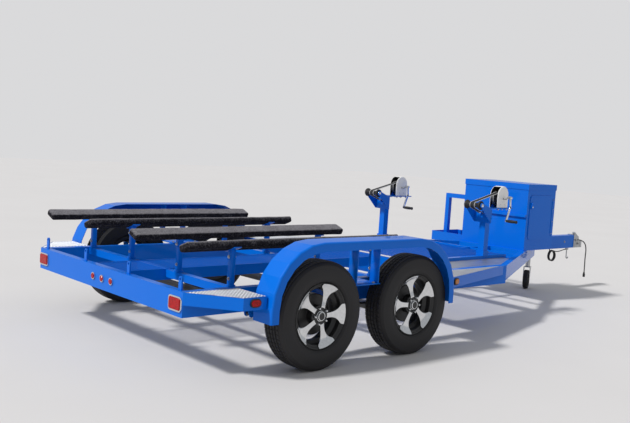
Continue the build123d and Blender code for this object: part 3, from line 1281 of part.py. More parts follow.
BUNK_PLACES = ((OUTER_BUNK_Y, 1), (INNER_BUNK_Y, -1), (-INNER_BUNK_Y, 1), (-OUTER_BUNK_Y, -1))
for name, (y, lean) in zip(("left_outer", "left_inner", "right_inner", "right_outer"), BUNK_PLACES):
    PARTS["bunk_" + name] = bunk(y, lean)
PARTS["bunk_posts"] = Compound([bunk_post(x, y, lean) for x in (REAR_BEARER_X, FRONT_BEARER_X)
                                for y, lean in BUNK_PLACES])
PARTS["winch_stands"] = both(winch_stand())
PARTS["winch_covers"] = both(winch_cover())
PARTS["winch_drums"] = both(winch_drum())
PARTS["winch_straps"] = both(winch_strap())
PARTS["strap_links"] = both(strap_link())
RIGHT_CRANK = other_side(crank())
PARTS["winch_cranks"] = Compound([RIGHT_CRANK, Pos(0, 2 * STRINGER_Y, 0) * RIGHT_CRANK])
PARTS["bow_roller_left"] = Pos(ROLLER_X, STRINGER_Y, ROLLER_Z) * bow_roller()
PARTS["bow_roller_right"] = Pos(ROLLER_X, -STRINGER_Y, ROLLER_Z) * bow_roller()
PARTS["toolbox"] = toolbox()
PARTS["toolbox_door"] = toolbox_door()
PARTS["toolbox_lid"] = toolbox_lid()
PARTS["side_platform"] = side_platform()
PARTS["safety_coil"] = safety_coil()
PARTS["cable_hook"] = cable_hook()
PARTS["safety_cable"] = cord_tube(CABLE_ROUTE, CABLE_D, "safety_cable")
PARTS["trailer_lead"] = cord_tube(LEAD_ROUTE, LEAD_D, "trailer_lead")
PARTS["lead_plug"] = lead_plug()

os.makedirs("parts", exist_ok=True)
for name, shape in PARTS.items():
    export_step(Pos(-CENTRE_X, 0, 0) * shape, os.path.join("parts", name + ".step"))
print("pieces", len(PARTS), "written about x =", CENTRE_X)
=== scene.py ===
# %% [markdown]
# # A tandem-axle boat trailer
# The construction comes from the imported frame: every tube, wheel and bracket at its real size. This lesson
# gives it its looks. It starts with the frame and the camera, then the cords, then one finish after another,
# and then the pieces whose shape needs more than a plain solid.

# %% Load the frame
import json
from math import atan2, ceil, cos, pi, radians, sin, sqrt, tan

import bmesh
import bpy
from mathutils import Matrix, Vector


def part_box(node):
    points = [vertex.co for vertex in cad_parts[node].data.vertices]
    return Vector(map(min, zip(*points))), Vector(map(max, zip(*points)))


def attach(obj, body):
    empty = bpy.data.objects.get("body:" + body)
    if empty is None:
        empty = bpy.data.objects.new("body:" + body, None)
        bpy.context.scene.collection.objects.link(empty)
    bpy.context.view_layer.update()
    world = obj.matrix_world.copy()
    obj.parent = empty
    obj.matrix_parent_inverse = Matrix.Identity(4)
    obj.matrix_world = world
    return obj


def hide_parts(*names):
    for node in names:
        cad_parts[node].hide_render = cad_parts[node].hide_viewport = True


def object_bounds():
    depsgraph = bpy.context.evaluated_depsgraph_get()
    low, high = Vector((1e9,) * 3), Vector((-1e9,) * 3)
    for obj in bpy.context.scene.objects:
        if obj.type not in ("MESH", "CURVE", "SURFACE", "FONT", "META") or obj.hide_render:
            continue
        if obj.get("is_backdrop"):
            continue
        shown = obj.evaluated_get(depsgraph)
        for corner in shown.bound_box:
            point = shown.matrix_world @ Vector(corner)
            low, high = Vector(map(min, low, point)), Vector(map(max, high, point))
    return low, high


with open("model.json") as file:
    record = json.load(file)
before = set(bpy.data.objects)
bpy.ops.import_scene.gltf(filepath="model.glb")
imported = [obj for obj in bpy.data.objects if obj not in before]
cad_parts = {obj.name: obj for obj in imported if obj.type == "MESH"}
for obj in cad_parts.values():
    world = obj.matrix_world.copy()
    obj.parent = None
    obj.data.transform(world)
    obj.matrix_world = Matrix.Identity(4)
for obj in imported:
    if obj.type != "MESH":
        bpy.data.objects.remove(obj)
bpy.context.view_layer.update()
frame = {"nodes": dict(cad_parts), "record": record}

# %% [markdown]
# All stations along the trailer are counted from the point midway between the axles, as a builder would
# with a tape. The frame itself is centred on the trailer's length, so one offset joins the two.

# %% Stations
front_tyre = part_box("tyre_front_left")
rear_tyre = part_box("tyre_rear_left")
AXLE_MID_X = (front_tyre[0].x + front_tyre[1].x + rear_tyre[0].x + rear_tyre[1].x) / 4
AXLE_HALF = (front_tyre[0].x - rear_tyre[0].x) / 2
TYRE_RADIUS = (front_tyre[1].z - front_tyre[0].z) / 2
SIDES = (("left", 1), ("right", -1))
print("midway between the axles: x =", round(AXLE_MID_X, 4))


def station(x, y, z):
    """A point given from the ground midway between the axles."""
    return Vector((AXLE_MID_X + x, y, z))


# %% [markdown]
# ## Camera
# The camera stands at the photograph's place: behind the trailer on its right, at a grown-up's eye height.
# Its place and its three angles were fitted to points of the trailer whose real positions are known.

# %% Camera
EYE = station(-3.8746, -4.8852, 1.3891)
YAW, PITCH, ROLL = 0.8308, 0.0799, -0.0655
FOCAL_PIXELS = 827.7
PHOTO_WIDTH = 630
SENSOR = 36.0

forward = Vector((cos(PITCH) * cos(YAW), cos(PITCH) * sin(YAW), -sin(PITCH)))
level = Vector((sin(YAW), -cos(YAW), 0.0))
down = forward.cross(level)
right = level * cos(ROLL) + down * sin(ROLL)
below = down * cos(ROLL) - level * sin(ROLL)
camera_data = bpy.data.cameras.new("camera")
camera_data.sensor_width = SENSOR
camera_data.lens = FOCAL_PIXELS / PHOTO_WIDTH * SENSOR
camera_data.clip_end = 200
camera = bpy.data.objects.new("camera", camera_data)
turn = Matrix((right, -below, -forward)).transposed()
camera.matrix_world = Matrix.Translation(EYE) @ turn.to_4x4()
bpy.context.collection.objects.link(camera)
bpy.context.scene.camera = camera
print("lens", round(camera_data.lens, 1), "mm")

# %% [markdown]
# ## The lead and the safety cable
# Two cords hang at the tongue. The trailer lead drops from the coupler and ends in its plug. The safety cable
# starts at the eye under the tongue, runs back and is wound into a loose coil. Each is one smooth NURBS
# curve: the free stretches follow listed points, and a loop works out the coil's turns.

# %% Cord helper
cable_piece = {}


def cord(name, points, diameter):
    """A round cord along one smooth open spline."""
    data = bpy.data.curves.new(name, "CURVE")
    data.dimensions = "3D"
    data.bevel_depth = diameter / 2
    data.bevel_resolution = 5
    data.use_fill_caps = True
    line = data.splines.new("NURBS")
    line.points.add(len(points) - 1)
    for point, place in zip(line.points, points):
        point.co = (*place, 1.0)
    line.order_u = 3
    line.use_endpoint_u = True
    line.resolution_u = 6
    piece = bpy.data.objects.new(name, data)
    bpy.context.collection.objects.link(piece)
    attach(piece, "frame")
    cable_piece[name] = piece
    return piece


# %% Trailer lead
LEAD_DIAMETER = 0.012
LEAD_ROUTE = [
    (4.604, -0.043, 0.520), (4.606, -0.084, 0.516), (4.612, -0.118, 0.478), (4.621, -0.126, 0.414),
    (4.624, -0.120, 0.330), (4.620, -0.126, 0.240), (4.626, -0.123, 0.164),
]
lead = cord("lead", [station(*point) for point in LEAD_ROUTE], LEAD_DIAMETER)
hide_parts("trailer_lead")
station(*LEAD_ROUTE[0])

# %% Safety cable
CABLE_DIAMETER = 0.010
CABLE_RUN = [
    (4.405, 0.000, 0.418), (4.330, 0.003, 0.407), (4.262, -0.007, 0.398), (4.200, -0.004, 0.398),
    (4.150, -0.008, 0.407),
]
COIL_CENTRE = station(4.075, -0.030, 0.363)
COIL_TURN = radians(-4)
COIL_TURNS = 4.1
COIL_RADIUS = 0.0540
COIL_WANDER = 0.0040
COIL_HALF_WIDTH = 0.014
WANDER_RATE, WANDER_START = 2.4, 0.6
POINTS_A_TURN = 16
coil_ahead = Vector((cos(COIL_TURN), sin(COIL_TURN), 0))
coil_axis = Vector((sin(COIL_TURN), -cos(COIL_TURN), 0))
CABLE_END = [(4.0415, -0.026, 0.4205), (4.019, -0.030, 0.437)]
coil_points = []
for step in range(round(COIL_TURNS * POINTS_A_TURN) + 1):
    turns = step / POINTS_A_TURN
    angle = radians(90) + 2 * pi * turns
    radius = COIL_RADIUS + COIL_WANDER * sin(WANDER_RATE * turns + WANDER_START)
    along = COIL_HALF_WIDTH * (1 - 2 * turns / COIL_TURNS)
    spot = COIL_CENTRE + coil_ahead * radius * cos(angle) + Vector((0, 0, radius * sin(angle)))
    coil_points.append(spot + coil_axis * along)
cable = cord("cable", [station(*p) for p in CABLE_RUN] + coil_points + [station(*p) for p in CABLE_END],
             CABLE_DIAMETER)
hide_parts("safety_cable", "safety_coil")
station(*CABLE_RUN[0])
print("the coil has", COIL_TURNS, "turns")

# %% [markdown]
# ## Shader arithmetic
# A finish is easier to read as arithmetic than as a web of nodes. `Wire` wraps one output socket, and the
# plain signs on it add Math nodes. `Finish` is a material being made, with one method that adds any node.

# %% Wires and finishes
class Wire:
    """One output of a node. Arithmetic on it adds Math nodes to the same finish."""

    def __init__(self, finish, socket):
        self.finish = finish
        self.socket = socket

    def math(self, operation, *values):
        return self.finish.node("Math", {"operation": operation}, dict(enumerate(values)))

    def __add__(self, other):
        return self.math("ADD", self, other)

    __radd__ = __add__

    def __sub__(self, other):
        return self.math("SUBTRACT", self, other)

    def __mul__(self, other):
        return self.math("MULTIPLY", self, other)

    def size(self):
        return self.math("ABSOLUTE", self)

    def clamp(self):
        return self.math("MINIMUM", self.math("MAXIMUM", self, 0.0), 1.0)


class Finish:
    """A material being made."""

    def __init__(self, name):
        self.material = bpy.data.materials.new(name)
        self.material.use_nodes = True
        self.tree = self.material.node_tree
        self.tree.nodes.clear()

    def node(self, kind, settings=None, inputs=None, output=0):
        """Adds a node, makes its settings, fills its sockets and returns one output."""
        added = self.tree.nodes.new("ShaderNode" + kind)
        for key, value in (settings or {}).items():
            setattr(added, key, value)
        for key, value in (inputs or {}).items():
            socket = added.inputs[key]
            if isinstance(value, Wire):
                self.tree.links.new(value.socket, socket)
            elif socket.type == "RGBA" and len(value) == 3:
                socket.default_value = (*value, 1.0)
            else:
                socket.default_value = value
        return Wire(self, added.outputs[output])

    def place(self):
        """Where a point lies on the trailer, in metres."""
        return self.node("TexCoord", output="Object")

    def part(self, vector, number):
        """One part of a vector, where 0 is x, 1 is y and 2 is z."""
        return self.node("SeparateXYZ", {}, {"Vector": vector}, number)

    def upward(self):
        """1 on a face that looks up and 0 on an upright one."""
        return self.part(self.node("NewGeometry", output="Normal"), 2)

    def cells(self, scale, distance="EUCLIDEAN"):
        """Small cells, dark in their middles."""
        return self.node("TexVoronoi", {"distance": distance}, {"Vector": self.place(), "Scale": scale})

    def noise(self, scale, detail=3.0, rough=0.5, stretch=(1, 1, 1)):
        """Soft noise whose lumps are about one metre divided by scale."""
        spot = self.node("Mapping", {}, {"Vector": self.place(), "Scale": stretch})
        sockets = {"Vector": spot, "Scale": scale, "Detail": detail, "Roughness": rough}
        return self.node("TexNoise", {}, sockets)

    def mix(self, share, first, second):
        """The first colour at 0, the second at 1."""
        return self.node("Mix", {"data_type": "RGBA"}, {0: share, 6: first, 7: second}, 2)

    def bump(self, height, strength, distance, normal=None):
        sockets = {"Height": height, "Strength": strength, "Distance": distance}
        if normal is not None:
            sockets["Normal"] = normal
        return self.node("Bump", {}, sockets)

    def steps(self, value, low, high):
        """0 below low, 1 above high, and a smooth rise between."""
        sockets = {"Value": value, "From Min": low, "From Max": high}
        return self.node("MapRange", {"interpolation_type": "SMOOTHSTEP"}, sockets)

    def surface(self, **sockets):
        """Ends the finish in one Principled shader. Names are sockets, with _ for a space."""
        filled = {key.replace("_", " "): value for key, value in sockets.items()}
        shader = self.node("BsdfPrincipled", {}, filled)
        end = self.tree.nodes.new("ShaderNodeOutputMaterial")
        self.tree.links.new(shader.socket, end.inputs["Surface"])
        return self.material


# %% [markdown]
# ## Blue enamel
# The frame is sprayed in a glossy mid blue. Sprayed enamel is never a mirror: it has a fine orange peel and a
# film of road dust that gathers on level faces.

# %% Blue enamel
BLUE = (0.0001, 0.150, 0.660)
BLUE_DEEP = (0.0001, 0.125, 0.600)
DUST = (0.30, 0.29, 0.27)


def blue_enamel():
    finish = Finish("blue_enamel")
    tone = finish.mix(finish.noise(2.3, 4), BLUE_DEEP, BLUE)
    speckle = finish.steps(finish.noise(160, 5, 0.7), 0.52, 0.72)
    patches = finish.steps(finish.noise(5.5, 4), 0.45, 0.75)
    dust = (finish.steps(finish.upward(), 0.55, 1.0) * patches * 0.06 + speckle * patches * 0.02).clamp()
    peel = finish.bump(finish.noise(420, 2), 0.05, 0.0006)
    waves = finish.bump(finish.noise(9, 2), 0.06, 0.004, peel)
    return finish.surface(Base_Color=finish.mix(dust, tone, DUST), Roughness=0.42 + dust * 0.9,
                          Coat_Weight=0.55, Coat_Roughness=0.06, Coat_IOR=1.25, Specular_IOR_Level=0.08,
                          Normal=waves)


# %% [markdown]
# ## Bright metals
# The coupler, the jack and the small hardware are zinc plated: a pale grey with a faint crystal mottle. The
# cranks and lamp rims are chrome, and the treads are bare aluminium that has gone dull.

# %% Bright metals
ZINC = (0.56, 0.57, 0.58)
ZINC_DULL = (0.36, 0.37, 0.38)
CHROME = (0.78, 0.79, 0.80)
ALUMINIUM = (0.66, 0.67, 0.69)
ALUMINIUM_DULL = (0.42, 0.43, 0.45)
TREAD_WORN = (0.20, 0.21, 0.225)


def zinc_plate():
    finish = Finish("zinc_plate")
    crystals = finish.cells(90.0)
    wear = (crystals * 0.6 + finish.noise(14, 4) * 0.5).clamp()
    return finish.surface(Base_Color=finish.mix(wear, ZINC, ZINC_DULL), Metallic=1.0,
                          Roughness=0.26 + wear * 0.22, Normal=finish.bump(crystals, 0.06, 0.0005))


def chrome():
    finish = Finish("chrome")
    haze = finish.noise(60, 3)
    return finish.surface(Base_Color=finish.mix(haze, CHROME, ZINC), Metallic=1.0,
                          Roughness=0.08 + haze * 0.10, Normal=finish.bump(finish.noise(35, 2), 0.04, 0.001))


def dull_aluminium(name, dark, pale):
    finish = Finish(name)
    rolled = finish.noise(45, 4, 0.6, (0.25, 1, 1))
    return finish.surface(Base_Color=finish.mix(rolled, dark, pale), Metallic=1.0,
                          Roughness=0.34 + rolled * 0.16, Normal=finish.bump(rolled, 0.08, 0.0008))


# %% [markdown]
# ## Rubber, plastic and carpet
# These are the dull finishes. Rubber and moulded plastic differ mostly in grain, and the bunks' carpet is a
# short dark pile with pale tufts, whose top is painted paler than its sides and underside as painted light.

# %% Rubber and plastics
RUBBER = (0.0070, 0.0066, 0.0080)
RUBBER_DUSTY = (0.030, 0.027, 0.027)
BLACK_SATIN = (0.012, 0.012, 0.0125)
WHITE_SHELL = (0.80, 0.79, 0.765)
RED_LENS = (0.66, 0.0015, 0.006)
AMBER_LENS = (0.80, 0.24, 0.010)
CARPET_DARK = (0.011, 0.010, 0.014)
CARPET_PALE = (0.245, 0.235, 0.250)


def rubber(name, dust_most):
    finish = Finish(name)
    dusty = (finish.steps(finish.noise(11, 5, 0.6), 0.35, 0.8) * dust_most).clamp()
    grain = finish.bump(finish.noise(520, 2), 0.12, 0.0005)
    return finish.surface(Base_Color=finish.mix(dusty, RUBBER, RUBBER_DUSTY), Roughness=0.62 + dusty * 0.3,
                          Normal=grain, IOR=1.5)


def plastic(name, colour, rough, coat):
    finish = Finish(name)
    cloud = finish.noise(30, 4)
    paler = tuple(min(1.0, part * 1.12 + 0.004) for part in colour)
    return finish.surface(Base_Color=finish.mix(cloud, colour, paler), Roughness=rough + cloud * 0.10,
                          Coat_Weight=coat, Normal=finish.bump(finish.noise(380, 2), 0.05, 0.0004))


def lens(name, colour):
    finish = Finish(name)
    prisms = finish.cells(210.0, "MANHATTAN")
    deep = tuple(part * 0.30 for part in colour)
    return finish.surface(Base_Color=finish.mix(prisms * 0.9, colour, deep), Roughness=0.12 + prisms * 0.10,
                          Coat_Weight=0.2, Coat_Roughness=0.05, Specular_IOR_Level=0.15,
                          Normal=finish.bump(prisms, 0.25, 0.0015))


def carpet():
    finish = Finish("carpet")
    loops = finish.noise(330, 3, 0.75)
    tufts = finish.noise(95, 3, 0.7)
    blotch = finish.noise(14, 4, 0.6)
    # Painted light: the upward mask makes the top pale where the sun falls and leaves the sides and underside
    # dark. The noise adds the pile's pale tufts and blotches.
    sunlit_top_and_pile = (finish.steps(finish.upward(), 0.15, 0.95) * 0.80 + (loops - 0.5) * 1.2 + (tufts - 0.5) * 1.6
                + (blotch - 0.5) * 0.6 - 0.05).clamp()
    pile = finish.bump(loops, 0.9, 0.004, finish.bump(tufts, 0.6, 0.004))
    return finish.surface(Base_Color=finish.mix(sunlit_top_and_pile, CARPET_DARK, CARPET_PALE), Roughness=0.96,
                          Specular_IOR_Level=0.1, Normal=pile)


# %% Webbing
WEB_DARK = (0.016, 0.016, 0.018)
WEB_HIGHLIGHT = (0.62, 0.61, 0.60)
WEB_EDGE = (0.0195, 0.0215)
WINCH_Y = 0.595


def webbing():
    """Black webbing with two pale edge lines, painted highlights that lie by the distance from each winch's
    middle.
    """
    finish = Finish("webbing")
    across = finish.part(finish.place(), 1).size() - WINCH_Y
    # The pale lines along both edges of the strap are painted highlights.
    edge = finish.steps(across.size(), *WEB_EDGE)
    weave = finish.noise(900, 2, 0.6, (1, 2.5, 1))
    webbing_with_edge_highlight = finish.mix(edge * (0.6 + weave * 0.4), WEB_DARK, WEB_HIGHLIGHT)
    return finish.surface(Base_Color=webbing_with_edge_highlight, Roughness=0.85, Normal=finish.bump(weave, 0.5, 0.001))


# %% Finishes by slot
FINISHES = {
    "blue_paint": blue_enamel(),
    "zinc": zinc_plate(),
    "tread_aluminium": dull_aluminium("tread_aluminium", ALUMINIUM_DULL, ALUMINIUM),
    "black_steel": plastic("black_steel", BLACK_SATIN, 0.42, 0.1),
    "tyre_rubber": rubber("tyre_rubber", 0.35),
    "machined_alloy": chrome(),
    "chrome_trim": chrome(),
    "red_lens": lens("red_lens", RED_LENS),
    "amber_lens": lens("amber_lens", AMBER_LENS),
    "black_plastic": plastic("black_plastic", BLACK_SATIN, 0.5, 0.0),
    "grey_carpet": carpet(),
    "white_shell": plastic("white_shell", WHITE_SHELL, 0.28, 0.4),
    "black_rubber": rubber("black_rubber", 0.2),
    "black_cord": plastic("black_cord", BLACK_SATIN, 0.38, 0.0),
    "black_webbing": webbing(),
}


def dress(piece, slot):
    """Gives a piece the finish of one of the record's slots."""
    piece.data.materials.clear()
    piece.data.materials.append(FINISHES[slot])


for part in frame["record"]["subparts"]:
    dress(frame["nodes"][part["node"]], part["material_slot"])
frame["nodes"]["step_treads"].data.materials[0] = dull_aluminium("tread_worn", TREAD_WORN, ALUMINIUM_DULL)
for piece in cable_piece.values():
    dress(piece, "black_cord")

# %% [markdown]
# ## The bench
# From here on each piece is modelled as it would be by hand. A primitive goes in at its size, edit mode gives
# it its shape, and modifiers finish it. The helpers below only shorten the clicks: `add` and `box` open a new
# primitive in edit mode, `pick` selects what passes a test, and `settle` puts the piece's place into its
# mesh and gives it its finish, its body and the nodes that it stands for.

# %% Adding and picking
def begin():
    """Leaves edit mode and deselects everything."""
    if bpy.context.object is not None and bpy.context.object.mode == "EDIT":
        bpy.ops.object.mode_set(mode="OBJECT")
    bpy.ops.object.select_all(action="DESELECT")


def only(*pieces):
    """Selects these pieces and makes the first one active."""
    begin()
    for piece in pieces:
        piece.select_set(True)
    bpy.context.view_layer.objects.active = pieces[0]


def edit(piece):
    """Opens a piece in edit mode with all of it selected."""
    only(piece)
    bpy.ops.object.mode_set(mode="EDIT")
    bpy.ops.mesh.select_mode(type="EDGE")
    bpy.ops.mesh.select_all(action="SELECT")


def add(name, operator, **settings):
    """Adds a primitive and opens it in edit mode."""
    begin()
    operator(**settings)
    piece = bpy.context.object
    piece.name = name
    edit(piece)
    return piece


def box(name, *size, operator=bpy.ops.mesh.primitive_cube_add):
    """A box of this size around the origin, open in edit mode."""
    piece = add(name, operator, size=1)
    bpy.ops.transform.resize(value=size)
    return piece


def pick(piece, kind, wanted):
    """In edit mode, selects the vertices, edges or faces that pass a test."""
    bpy.ops.mesh.select_mode(type=kind)
    bpy.ops.mesh.select_all(action="DESELECT")
    shape = bmesh.from_edit_mesh(piece.data)
    parts = {"VERT": shape.verts, "EDGE": shape.edges, "FACE": shape.faces}[kind]
    chosen = [part for part in parts if wanted(part)]
    for part in chosen:
        part.select_set(True)
    shape.select_flush_mode()
    bmesh.update_edit_mesh(piece.data)
    return len(chosen)


def run(edge, axis):
    """How far an edge runs along x, y or z, which count as 0, 1 and 2."""
    return abs(edge.verts[0].co[axis] - edge.verts[1].co[axis])


def lowest(edge, axis):
    """Where the lower end of an edge lies on an axis."""
    return min(vert.co[axis] for vert in edge.verts)


def shift(*move):
    """Moves what is selected."""
    bpy.ops.transform.translate(value=move)


def extrude(*move):
    """Extrudes what is selected and moves it."""
    bpy.ops.mesh.extrude_region_move(TRANSFORM_OT_translate={"value": move})


def bevel(offset, segments):
    """Bevels the selected edges."""
    bpy.ops.mesh.bevel(offset=offset, segments=segments, affect="EDGES")


def cut_off(spot, facing):
    """Cuts a piece by a plane, takes away what lies beyond it and closes the cut."""
    bpy.ops.mesh.select_all(action="SELECT")
    bpy.ops.mesh.bisect(plane_co=spot, plane_no=facing, clear_outer=True, use_fill=True)


def clean():
    """Merges doubles and turns every face outwards."""
    bpy.ops.mesh.select_all(action="SELECT")
    bpy.ops.mesh.remove_doubles(threshold=0.00001)
    bpy.ops.mesh.normals_make_consistent(inside=False)


# %% Placing and finishing
def place(piece, spot=(0, 0, 0), turn=(0, 0, 0)):
    """Turns a piece about the origin, then moves it, and keeps both in the mesh."""
    only(piece)
    piece.rotation_euler = turn
    bpy.ops.object.transform_apply(location=True, rotation=True, scale=True)
    piece.location = spot
    bpy.ops.object.transform_apply(location=True, rotation=True, scale=True)
    return piece


def modify(piece, kind, **settings):
    """Adds a modifier and applies it."""
    only(piece)
    added = piece.modifiers.new(kind.lower(), kind)
    for key, value in settings.items():
        setattr(added, key, value)
    bpy.ops.object.modifier_apply(modifier=added.name)
    return piece


def thicken(piece, wall, offset=-1):
    """Gives a surface a wall."""
    return modify(piece, "SOLIDIFY", thickness=wall, offset=offset)


def break_edges(piece, width, segments, sharp):
    """Bevels every edge sharper than an angle in degrees."""
    return modify(piece, "BEVEL", width=width, segments=segments, limit_method="ANGLE",
                  angle_limit=radians(sharp))


def repeat(piece, count, *offset, **settings):
    """Repeats a piece at a fixed offset."""
    return modify(piece, "ARRAY", count=count, use_relative_offset=False, use_constant_offset=True,
                  constant_offset_displace=offset, **settings)


def twin(piece, name):
    """A copy with its own mesh."""
    copy = piece.copy()
    copy.data = piece.data.copy()
    copy.name = name
    bpy.context.collection.objects.link(copy)
    return copy


def join(name, pieces):
    """Makes one piece of several."""
    only(*pieces)
    bpy.ops.object.join()
    pieces[0].name = name
    return pieces[0]


def settle(piece, slot, body, *nodes, smooth=35):
    """Ends a piece: finish, body, and the CAD nodes that it stands for."""
    only(piece)
    bpy.ops.object.transform_apply(location=True, rotation=True, scale=True)
    bpy.ops.object.shade_smooth_by_angle(angle=radians(smooth))
    piece.data.name = piece.name
    dress(piece, slot)
    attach(piece, body)
    if nodes:
        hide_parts(*nodes)
    faces = sum(len(face.vertices) - 2 for face in piece.data.polygons)
    print(piece.name, "has", faces, "triangles")
    return piece


# %% [markdown]
# ## Round forms
# Tyres, rims, hubs and rollers are all turned forms. Spinning a drawn profile makes them in one go, but a
# ring that is extruded and scaled again and again does the same, and leaves every ring at hand for the next
# step. The section is a list of radius and height, and a third number turns a ring against the one before.
# A closed section is bridged from its last ring to its first, and any other gets a cap at each end.

# %% Turned forms
def turned(name, section, segments, closed=False):
    """A form turned about its own z axis, ring by ring."""
    radius, height = section[0][:2]
    piece = add(name, bpy.ops.mesh.primitive_circle_add, vertices=segments, radius=radius,
                location=(0, 0, 0), fill_type="NOTHING")
    shift(0, 0, height)
    if not closed:
        bpy.ops.mesh.edge_face_add()
    for ring in section[1:]:
        extrude(0, 0, ring[1] - height)
        share = ring[0] / radius
        bpy.ops.transform.resize(value=(share, share, 1), center_override=(0, 0, ring[1]))
        if len(ring) > 2:
            bpy.ops.transform.rotate(value=ring[2], orient_axis="Z", center_override=(0, 0, ring[1]))
        radius, height = ring[:2]
    if not closed:
        clean()
    pick(piece, "EDGE", lambda edge: edge.is_boundary)
    if closed:
        bpy.ops.mesh.bridge_edge_loops()
    else:
        bpy.ops.mesh.edge_face_add()
    clean()
    begin()
    return piece


TYRE_HALF = 0.0875
WHEELS = {}
for end in ("front", "rear"):
    for hand, side in SIDES:
        low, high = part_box("tyre_%s_%s" % (end, hand))
        outer = max(abs(low.y), abs(high.y))
        WHEELS["%s_%s" % (end, hand)] = Vector(((low.x + high.x) / 2, side * (outer - TYRE_HALF), TYRE_RADIUS))
FACE_OUT = {"left": (radians(-90), 0, 0), "right": (radians(90), 0, 0)}
print("wheel centres", {key: tuple(round(v, 3) for v in spot) for key, spot in WHEELS.items()})

# %% [markdown]
# ## Tyres
# A trailer tyre has a smooth, slightly bulged wall and a plain ribbed tread. The carcass is turned with the
# tread's floor at the bottom of the grooves. Its ribs are then raised face by face with an inset, so that
# each face becomes one block, and turning some rings a little slants the blocks like the real ones. The
# photograph shows a narrower tyre than the solids have, so it is set against their outer wall.

# %% Tyres
TREAD_DEPTH = 0.0065
TREAD_FLOOR = TYRE_RADIUS - TREAD_DEPTH
TREAD_BLOCKS = 72
BLOCK_GAP = 0.0022
RIB_EDGES = (0.0105, 0.0165, 0.0370, 0.0430, 0.0630)
SLANT = radians(1.7)

tyre_half_section = [
    (TREAD_FLOOR, RIB_EDGES[0]), (TREAD_FLOOR, RIB_EDGES[1]), (TREAD_FLOOR, RIB_EDGES[2], SLANT),
    (TREAD_FLOOR, RIB_EDGES[3]), (TREAD_FLOOR - 0.002, RIB_EDGES[4], -SLANT), (0.335, 0.0675),
    (0.329, 0.0735), (0.32, 0.0788), (0.318, 0.0812), (0.315, 0.0816), (0.304, 0.0832), (0.28, 0.0866),
    (0.26, TYRE_HALF), (0.246, 0.0868), (0.233, 0.0838), (0.227, 0.0842), (0.224, 0.0826), (0.216, 0.0765),
    (0.211, 0.07), (0.2085, 0.0633), (0.191, 0.0633),
]
other_half = [(ring[0], -ring[1]) + ring[2:] for ring in reversed(tyre_half_section)]
tyre = turned("tyre", other_half + tyre_half_section, TREAD_BLOCKS, closed=True)
edit(tyre)
ribs = pick(tyre, "FACE", lambda face: face.calc_center_median().to_2d().length > TREAD_FLOOR - 0.003
            and any(low < abs(face.calc_center_median().z) < high
                    for low, high in ((-1, RIB_EDGES[0]), RIB_EDGES[1:3], RIB_EDGES[3:5])))
bpy.ops.mesh.inset(thickness=BLOCK_GAP, depth=TREAD_DEPTH, use_individual=True)
begin()
for key, centre in WHEELS.items():
    piece = place(twin(tyre, "tread_and_wall_" + key), centre, FACE_OUT[key.split("_")[1]])
    settle(piece, "tyre_rubber", "wheel_" + key, "tyre_" + key, smooth=28)
bpy.data.objects.remove(tyre)
print(ribs, "tread blocks on each tyre")

# %% [markdown]
# ## Wheels
# The wheel is dark and carries five bright flares. Each flare is narrow at the hub, sweeps out to a broad
# foot on the rim, and is dished like a saucer. One is extruded from a narrow plane, row after row, then bent
# to the rim's circle and given its thickness. The other four are copies, turned a fifth of a circle.

# %% Rim and hub
RIM = [
    (0.182, -0.07), (0.208, -0.0705), (0.208, -0.0637), (0.19, -0.063), (0.19, -0.044), (0.168, -0.026),
    (0.168, 0.006), (0.19, 0.024), (0.19, 0.063), (0.206, 0.0637), (0.208, 0.0655), (0.208, 0.0695),
    (0.2064, 0.0712), (0.2035, 0.0715), (0.199, 0.069), (0.196, 0.064), (0.186, 0.061), (0.182, 0.057),
    (0.182, 0.024), (0.16, 0.006), (0.16, -0.026), (0.182, -0.044),
]
HUB = [
    (0.03, -0.0715), (0.126, -0.0715), (0.13, -0.0675), (0.13, -0.004), (0.126, 0), (0.08, 0.001),
    (0.064, 0.005), (0.062, 0.04), (0.067, 0.044), (0.067, 0.056), (0.064, 0.0585), (0.044, 0.059),
    (0.04, 0.0575), (0.03, 0.0575),
]


def wheel_rim(name):
    """The dark rim with its dropped centre, and the drum and hub inside it."""
    return join(name, [turned(name, RIM, 72, closed=True), turned("hub", HUB, 60)])


# %% Flares
SPOKES = 5
FLARE_ROWS = [
    (0.056, 0.0165, 0.0595), (0.067, 0.0155, 0.058), (0.084, 0.0158, 0.055), (0.102, 0.0172, 0.0527),
    (0.118, 0.0195, 0.0518), (0.132, 0.0235, 0.052), (0.146, 0.0295, 0.0532), (0.16, 0.0378, 0.0554),
    (0.171, 0.0475, 0.058), (0.181, 0.058, 0.0612), (0.19, 0.064, 0.065), (0.204, 0.066, 0.0745),
]
FLARE_START = 0.002
FLARE_THICK = 0.0045
FLARE_CROWN = 0.10


def flare(name):
    """One flare of the wheel, its foot towards +y."""
    start, half, height = FLARE_ROWS[0]
    piece = box(name, 2 * half, FLARE_START, 1, operator=bpy.ops.mesh.primitive_plane_add)
    shift(0, start - FLARE_START / 2, height)
    pick(piece, "EDGE", lambda edge: run(edge, 1) < 0.0001)
    bpy.ops.mesh.subdivide(number_cuts=7)
    pick(piece, "EDGE", lambda edge: lowest(edge, 1) > start - FLARE_START / 4)
    for reach, wide, rise in FLARE_ROWS[1:]:
        extrude(0, reach - start, rise - height)
        bpy.ops.transform.resize(value=(wide / half, 1, 1), center_override=(0, reach, rise))
        start, half, height = reach, wide, rise
    shape = bmesh.from_edit_mesh(piece.data)
    for vert in shape.verts:
        off = vert.co.x / max(vert.co.y, 0.001)
        vert.co.z -= FLARE_CROWN * abs(vert.co.x) * off ** 2
        vert.co.y = sqrt(max(vert.co.y ** 2 - vert.co.x ** 2, 0.0))
    bmesh.update_edit_mesh(piece.data)
    clean()
    thicken(piece, FLARE_THICK)
    return break_edges(piece, 0.0011, 2, 50)


def five_times(name, one):
    """One piece and its copies around the axle."""
    return join(name, [one] + [place(twin(one, "copy"), turn=(0, 0, radians(360 / SPOKES * spoke)))
                               for spoke in range(1, SPOKES)])


